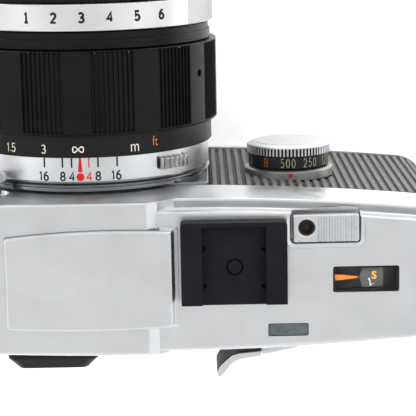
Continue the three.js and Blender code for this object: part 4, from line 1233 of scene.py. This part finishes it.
def make_scales():
    scale = Span("distance_scale_ring")
    r = scale.radius
    tube_profile = rounded([(24.2, scale.y0), (r - 0.05, scale.y0), (r, scale.y1), (24.2, scale.y1)],
                           [0, 0.12, 0.2, 0], 3)
    piece(lathe(AXIS, tube_profile, 240), "distance_ring", "focus_ring", SCALE_BLACK, ["distance_scale_ring"])
    for text, degrees in (("1.5", -33.4), ("3", -16.9), ("1", -47.5), ("0.8", -63), ("0.6", -85)):
        place = on_ring(LENS.x, LENS.z, r, math.radians(degrees), -8.05, 0.008)
        piece(figures(text, 1.9, place, 0.19, 0.86), f"distance_{text.replace('.', '_')}", "focus_ring",
              CREAM_INK)
    ring_text("m", 1.5, r, 23.9, -7.85, CREAM_INK, "distance_metres", "focus_ring", 0.8, -0.008)
    ring_text("ft", 2.0, r, 34.0, -8.85, ORANGE_INK, "distance_feet", "focus_ring", 0.8, -0.018)
    infinity = infinity_sign(r, math.radians(-1.4), -8.0, 1.15, 2.2)
    piece(infinity, "distance_infinity", "focus_ring", CREAM_INK)

    depth = Span("depth_scale_ring")
    r = depth.radius
    profile = rounded([(23.6, depth.y0), (r, depth.y0), (r, depth.y1), (23.6, depth.y1)], [0, 0.08, 0.3, 0],
                      3)
    piece(lathe(AXIS, profile, 240), "depth_ring", "camera_body", SCALE_CHROME, ["depth_scale_ring"])
    line_end = depth.y0 + 2.05
    for degrees, text in ((-17.4, "16"), (-8.9, "8"), (-4.7, "4"), (3.1, "4"), (7.2, "8"), (15.9, "16")):
        red = degrees == 3.1
        side = "left" if degrees < 0 else "right"
        ink = RED_INK if red else BLACK_INK_AND_SHADE
        half = 0.13 if red else 0.17
        bar = ring_patch([(-half, depth.y0 + 0.08), (half, depth.y0 + 0.08), (half, line_end),
                          (-half, line_end)], r, math.radians(degrees))
        piece(bar, f"depth_line_{side}_{text}", "camera_body", ink)
        shift = 0.45 if text == "16" else 0.0
        place = on_ring(LENS.x, LENS.z, r, math.radians(degrees - shift), -2.35, 0.008)
        number = figures(text, 2.05, place, 0.33, 0.95, 0.24)
        piece(number, f"depth_number_{side}_{text}", "camera_body", ink)
    middle = math.radians(-0.9)
    wedge = [(-0.22, depth.y0 + 0.06), (0.22, depth.y0 + 0.06), (0.46, depth.y0 + 3.0),
             (-0.46, depth.y0 + 3.0)]
    piece(ring_patch(wedge, r, middle), "index_wedge", "camera_body", RED_INK)
    dot = circle(0, -2.2, 0.82, 32)
    piece(ring_patch(dot, r, middle, 0.05), "index_dot", "camera_body", RED_INK)


def ring_patch(outline, radius, angle, thickness=0.035):
    """A thin painted mark on a ring: outline is (distance round the ring, y)."""
    rings = []
    for lift in (-PAINT_DEPTH, thickness):
        rings.append([AXIS(radius + lift, angle + u / radius, y) for u, y in outline])
    return loft(rings)


def infinity_sign(radius, angle, y, height, width):
    """A lying figure of eight, swept as a thin closed band."""
    steps = 72
    pen = 0.11
    rings = []
    for i in range(steps):
        t = TURN * i / steps
        u = width / 2 * math.sin(t)
        v = height / 2 * math.sin(2 * t)
        du, dv = width / 2 * math.cos(t), height * math.cos(2 * t)
        length = math.hypot(du, dv)
        nu, nv = -dv / length, du / length
        lift = 0.03 + 0.012 * math.cos(t)
        ring = []
        for side, depth in ((-pen, -PAINT_DEPTH), (pen, -PAINT_DEPTH), (pen, lift), (-pen, lift)):
            ring.append(AXIS(radius + depth, angle + (u + nu * side) / radius, y - (v + nv * side)))
        rings.append(ring)
    return closed_band(rings)


def make_aperture_ring():
    span = Span("aperture_ring")
    r = span.radius
    grip_low, grip_high = math.radians(54), math.radians(118)

    def in_grip(a):
        return grip_low < abs(a) < grip_high
    levels = [span.y0 + 0.35 + i * (span.y1 - span.y0 - 0.7) / 18 for i in range(19)]
    profile = [(22.5, span.y0), (r - 0.25, span.y0), (r - 0.07, span.y0 + 0.08), (r, span.y0 + 0.25)]
    profile += [(r, h) for h in levels]
    profile += [(r, span.y1 - 0.25), (r - 0.07, span.y1 - 0.08), (r - 0.25, span.y1), (22.5, span.y1)]
    count = 504

    def shape(radius, a, h):
        wrapped = (a + math.pi) % TURN - math.pi
        if radius < r - 0.01 or not in_grip(wrapped) or not levels[0] - 0.01 < h < levels[-1] + 0.01:
            return radius
        row = round((h - levels[0]) / (levels[1] - levels[0]))
        column = round(a / TURN * count)
        return radius - 0.03 - 0.09 * ((row + column) % 2)
    ring = lathe(AXIS, profile, count, shape)
    # The knurled grip band is painted darker: painted shade in the knurl.
    painted(ring, "worn", lambda co: 0.8 if in_grip(ring_angle(co)) and abs(co.y - span.y) < 2.45 else 0.0)
    piece(ring, "aperture_grip", "aperture_ring", APERTURE_SATIN, ["aperture_ring"], crease=50)
    for text, degrees in (("1", -22.1), ("2", -9.9), ("3", 1.9), ("4", 13.9), ("5", 26.0), ("6", 37.9)):
        place = on_ring(LENS.x, LENS.z, r, math.radians(degrees), -34.65, 0.01)
        number = figures(text, 2.3, place, 0.48, 1.0, footed=True)
        piece(number, f"aperture_number_{text}", "aperture_ring", BLACK_INK_AND_SHADE)


def make_lens_head():
    sleeve = 26.6
    profile = [(21.2, -37.5), (22.2, -37.5), (22.2, -31.6), (sleeve - 0.45, -31.6), (sleeve - 0.35, -31.5),
               (sleeve - 0.35, -30.2), (sleeve - 0.12, -30.15), (sleeve, -29.98), (sleeve, -28.3),
               (sleeve - 0.12, -28.2), (22.2, -28.2), (22.2, -1.5), (21.2, -1.5)]
    piece(lathe(AXIS, profile, 240), "head_sleeve", "lens_head", LACQUER, ["lens_head"])

    rim = Span("front_rim")
    front, back = rim.y0, rim.y1
    thread_radius = 23.75
    profile = [(21, back), (21, -38.4), (22.7, -41.35)]
    for i in range(3):
        y = -41.4 - i * 0.42
        profile += [(thread_radius - 0.95 + i * 0.32, y), (thread_radius - 0.65 + i * 0.32, y - 0.21)]
    profile += [(23.95, front + 0.06), (24.1, front), (25.7, front), (25.93, front + 0.1), (26, front + 0.3),
                (26, back - 1.5), (25.8, back - 1.4), (25.8, back - 1.1), (26, back - 1.0), (26, back)]
    piece(lathe(AXIS, profile, 240), "front_bezel", "lens_head", LACQUER, ["front_rim"])

    element = [(0, -38), (4, -37.86), (8, -37.42), (12, -36.72), (16, -35.75), (19.3, -34.6), (20.9, -34.3),
               (20.9, -31), (17, -30.6), (10, -30.2), (0, -30)]
    piece(lathe(AXIS, element, 144), "front_glass", "lens_head", COATED, ["front_element"])
    rear = [(0, -9), (5, -8.9), (9, -8.6), (13, -8.1), (16.5, -7.4), (16.6, -6), (16.5, -4.6), (9, -3),
            (0, -2.4)]
    piece(lathe(AXIS, rear, 144), "rear_glass", "lens_head", COATED, ["rear_element"])
    piece(tube(AXIS, 16.8, 20.9, -9, -2, 0.25, 144, 3), "rear_mount", "lens_head", LACQUER, ["rear_cell"])
    housing = rounded([(16, -21), (20.9, -21), (20.9, -15), (20.3, -15), (20.3, -19.4), (16, -19.4)], 0.2, 3)
    piece(lathe(AXIS, housing, 144), "iris_mount", "lens_head", LACQUER, ["iris_housing"])


def make_iris():
    span = Span("iris_ring")
    blades = []
    inner, outer, count = 12.0, 19.6, 8
    base = tube(AXIS, 18.3, 20, span.y0, span.y1, 0.1, 144, 2)
    for i in range(count):
        start = TURN * i / count
        outline = []
        for k in range(13):
            a = start + math.radians(64) * k / 12
            outline.append((outer * math.sin(a), outer * math.cos(a)))
        for k in range(13):
            a = start + math.radians(64) * (1 - k / 12)
            r = inner + 0.25 + 2.2 * abs(math.sin((a - start) * 1.4))
            outline.append((r * math.sin(a), r * math.cos(a)))
        y0 = span.y0 + 0.06 + 0.07 * i
        blade = loft([[(LENS.x + u, y, LENS.z + v) for u, v in outline] for y in (y0, y0 + 0.05)])
        blades.append(blade)
    piece(together(base, *blades), "iris_blades", "iris_ring", TITANIUM, ["iris_ring"])


def make_barrel():
    flange = Span("lens_barrel")
    r = flange.radius
    profile = [(19.3, 4.5), (19.3, -1), (22.6, -1), (22.6, -20), (23.4, -20), (23.4, -1.05), (r - 1.0, -1.05),
               (r - 0.95, -1.02), (r - 0.93, -0.76), (r - 0.9, -0.72), (r - 0.3, -0.5), (r - 0.05, -0.42),
               (r, -0.3), (r - 0.1, -0.2), (r - 0.7, -0.18), (r - 0.7, 0.1), (20.6, 0.1), (20.6, 4.5)]
    piece(lathe(AXIS, profile, 240), "barrel", "camera_body", POLISHED, ["lens_barrel"])

    span = Span("stop_down_tab")
    middle, reach = math.radians(45.4), math.radians(8.6)
    low, high = 26.1, 27.3
    ribs, steps = 6, 10
    front, rear = span.y0 + 0.42, span.y1 - 0.38
    levels = [(front, 0.45), (front + 0.12, 0.2), (front + 0.4, 0), (rear - 0.35, 0), (rear - 0.1, 0.1),
              (rear, 0.3)]
    ring_radius = Span("depth_scale_ring").radius
    reach_round = reach * ring_radius
    # A black patch round the tab that reaches past one end: painted shadow for the slot and for the shade
    # beside the tab.
    slot = rounded([(-reach_round - 0.5, front - 0.25), (reach_round - 0.9, front - 0.25),
                    (reach_round - 0.9, rear), (-reach_round - 0.5, rear)], [0.5, 0.05, 0.05, 0.7])
    piece(ring_patch(slot, ring_radius, middle), "preview_slot", "camera_body", BLACK_INK_AND_SHADE)
    rings = []
    for y, tuck in levels:
        ring = []
        for i in range(ribs * steps + 1):
            t = i / (ribs * steps)
            a = middle - reach + 2 * reach * t
            phase = (t * ribs) % 1
            groove = max(0.0, 1 - abs(phase - 0.5) / 0.24)
            end = min(1.0, min(t, 1 - t) * 14)
            height = (high - 0.55 * groove - tuck - low) * (0.45 + 0.55 * math.sqrt(end))
            ring.append(AXIS(low + height, a, y))
        for i in range(ribs * steps + 1):
            a = middle + reach - 2 * reach * i / (ribs * steps)
            ring.append(AXIS(low, a, y))
        rings.append(ring)
    piece(loft(rings), "preview_tab", "stop_down_tab", BRUSHED, ["stop_down_tab"])


# ------------------------------------------------------------------ inner pieces and carried-over nodes

def refine_inner():
    for node, name, body, material, width in (
            ("pressure_plate", "film_plate", "pressure_plate", LACQUER, 0.15),
            ("door_latch", "latch_slide", "door_latch", SATIN, 0.18),
            ("film_sprocket", "sprocket_wheel", "film_sprocket", POLISHED, 0.15),
            ("reflex_mirror", "mirror_blade", "reflex_mirror", SILVERED, 0.12),
            ("finder_prism", "prism_finder", "camera_body", GLASS, 0.25),
            ("relay_prism", "prism_relay", "camera_body", GLASS, 0.25),
            ("focusing_screen", "screen", "camera_body", GLASS, 0.1)):
        piece(softened(copied(node), width, 40), name, body, material, [node])
    spool = Span("take_up_spool")
    profile = rounded([(0, 8), (8.6, 8), (8.6, 9), (5.5, 9), (5.5, 53), (8.6, 53), (8.6, 54), (0, 54)],
                      [0, 0.3, 0.3, 0.5, 0.5, 0.3, 0.3, 0], 3)
    slots = [box(spool.x - 0.6, spool.x + 0.6, spool.y + 3, spool.y + 9, 24, 41),
             box(spool.x - 9, spool.x - 3, spool.y - 0.6, spool.y + 0.6, 24, 41)]
    body = cut(lathe(spool.upright, profile, 96), *slots)
    piece(body, "spool", "take_up_spool", BLACK_PLASTIC_AND_SHADE, ["take_up_spool"])


KEPT = {
    "body_casting": CASTING, "back_door": DOOR, "door_hinge_pin": POLISHED, "shutter_disc": TITANIUM,
    "shutter_shaft": POLISHED,
}


def dress_kept_nodes():
    for node, material in KEPT.items():
        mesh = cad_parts[node].data
        if not mesh.materials:
            mesh.materials.append(material)
        for i in range(len(mesh.materials)):
            mesh.materials[i] = material


# ------------------------------------------------------------------ studio

FLOOR_HALF = 1.6                # metres, like all values in this section
FLOOR_GAP = 0.0002
SKY = ((0.0, 0.5), (0.2, 0.6), (0.45, 1.3), (0.68, 1.15), (0.88, 0.8), (1.0, 0.77))    # (place, brightness)
LAMPS = (("left_lamp", (0.9, -0.2, 1.3), 15.0), ("right_lamp", (-0.9, -0.4, 1.1), 22.0))
LAMP_SIZE = 1.2
CAMERA_LENS = 138.46            # millimetres, over a sensor 36 mm wide
CAMERA_PLACE = (-0.01009, -0.0588, 0.3793)
CAMERA_TURNS = ((180, "Z"), (-11.47, "X"), (-0.24, "Y"), (-1.09, "Z"))


def make_stage():
    size, low = FLOOR_HALF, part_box("bottom_cover")[0].z - FLOOR_GAP
    floor = solid([(-size, -size, low), (size, -size, low), (size, size, low), (-size, size, low)],
                  [(0, 1, 2, 3)])
    floor.name = "floor"
    g = Graph("floor_finish", "floor")
    g.feed(g.shader.inputs["Base Color"], g.mix(g.noise(3, 2), shade(0xfafafa), shade(0xffffff)))
    g.shader.inputs["Roughness"].default_value = 0.9
    g.shader.inputs["Specular IOR Level"].default_value = 0.1
    floor.data.materials.append(g.material)


def area_light(name, place, target, width, height, power):
    light = bpy.data.lights.new(name, "AREA")
    light.shape = "RECTANGLE"
    light.size, light.size_y = width, height
    light.energy = power
    lamp = bpy.data.objects.new(name, light)
    lamp.location = place
    lamp.rotation_euler = (Vector(target) - Vector(place)).to_track_quat("-Z", "Y").to_euler()
    bpy.context.scene.collection.objects.link(lamp)
    return lamp


def make_light():
    """A soft sky that is brightest overhead, and two wide lamps that lift the floor to white."""
    world = bpy.data.worlds.new("studio")
    world.use_nodes = True
    tree = world.node_tree
    background = tree.nodes["Background"]
    coords = tree.nodes.new("ShaderNodeTexCoord")
    split = tree.nodes.new("ShaderNodeSeparateXYZ")
    ramp = tree.nodes.new("ShaderNodeValToRGB")
    tree.links.new(coords.outputs["Generated"], split.inputs["Vector"])
    tree.links.new(split.outputs["Z"], ramp.inputs["Fac"])
    tree.links.new(ramp.outputs["Color"], background.inputs["Color"])
    for position, _ in SKY[1:-1]:
        ramp.color_ramp.elements.new(position)
    for stop, (position, level) in zip(ramp.color_ramp.elements, SKY):
        stop.position = position
        stop.color = (level * 0.99, level, level * 1.01, 1)
    bpy.context.scene.world = world
    for name, place, power in LAMPS:
        lamp = area_light(name, place, (0, 0, 0), LAMP_SIZE, LAMP_SIZE, power)
        lamp.visible_glossy = False


def make_camera():
    camera = bpy.data.objects.new("camera", bpy.data.cameras.new("camera"))
    camera.data.lens = CAMERA_LENS
    camera.data.sensor_width = 36
    camera.data.clip_start = 0.01
    turn = Matrix.Identity(4)
    for degrees, axis in CAMERA_TURNS:
        turn = turn @ Matrix.Rotation(math.radians(degrees), 4, axis)
    camera.matrix_world = Matrix.Translation(CAMERA_PLACE) @ turn
    bpy.context.scene.collection.objects.link(camera)
    bpy.context.scene.camera = camera


make_camera()
make_stage()
make_light()
bpy.context.scene.view_settings.view_transform = "Standard"
for make in (make_top_cover, make_finder_plate, make_tray, make_coverings, make_shoe, make_button,
             make_counter, make_lever, make_eyepiece, make_rewind, make_lugs, make_speed_dial,
             make_front_buttons, make_front_plate, make_focus_ring, make_scales, make_aperture_ring,
             make_lens_head, make_iris, make_barrel, refine_inner, dress_kept_nodes):
    make()
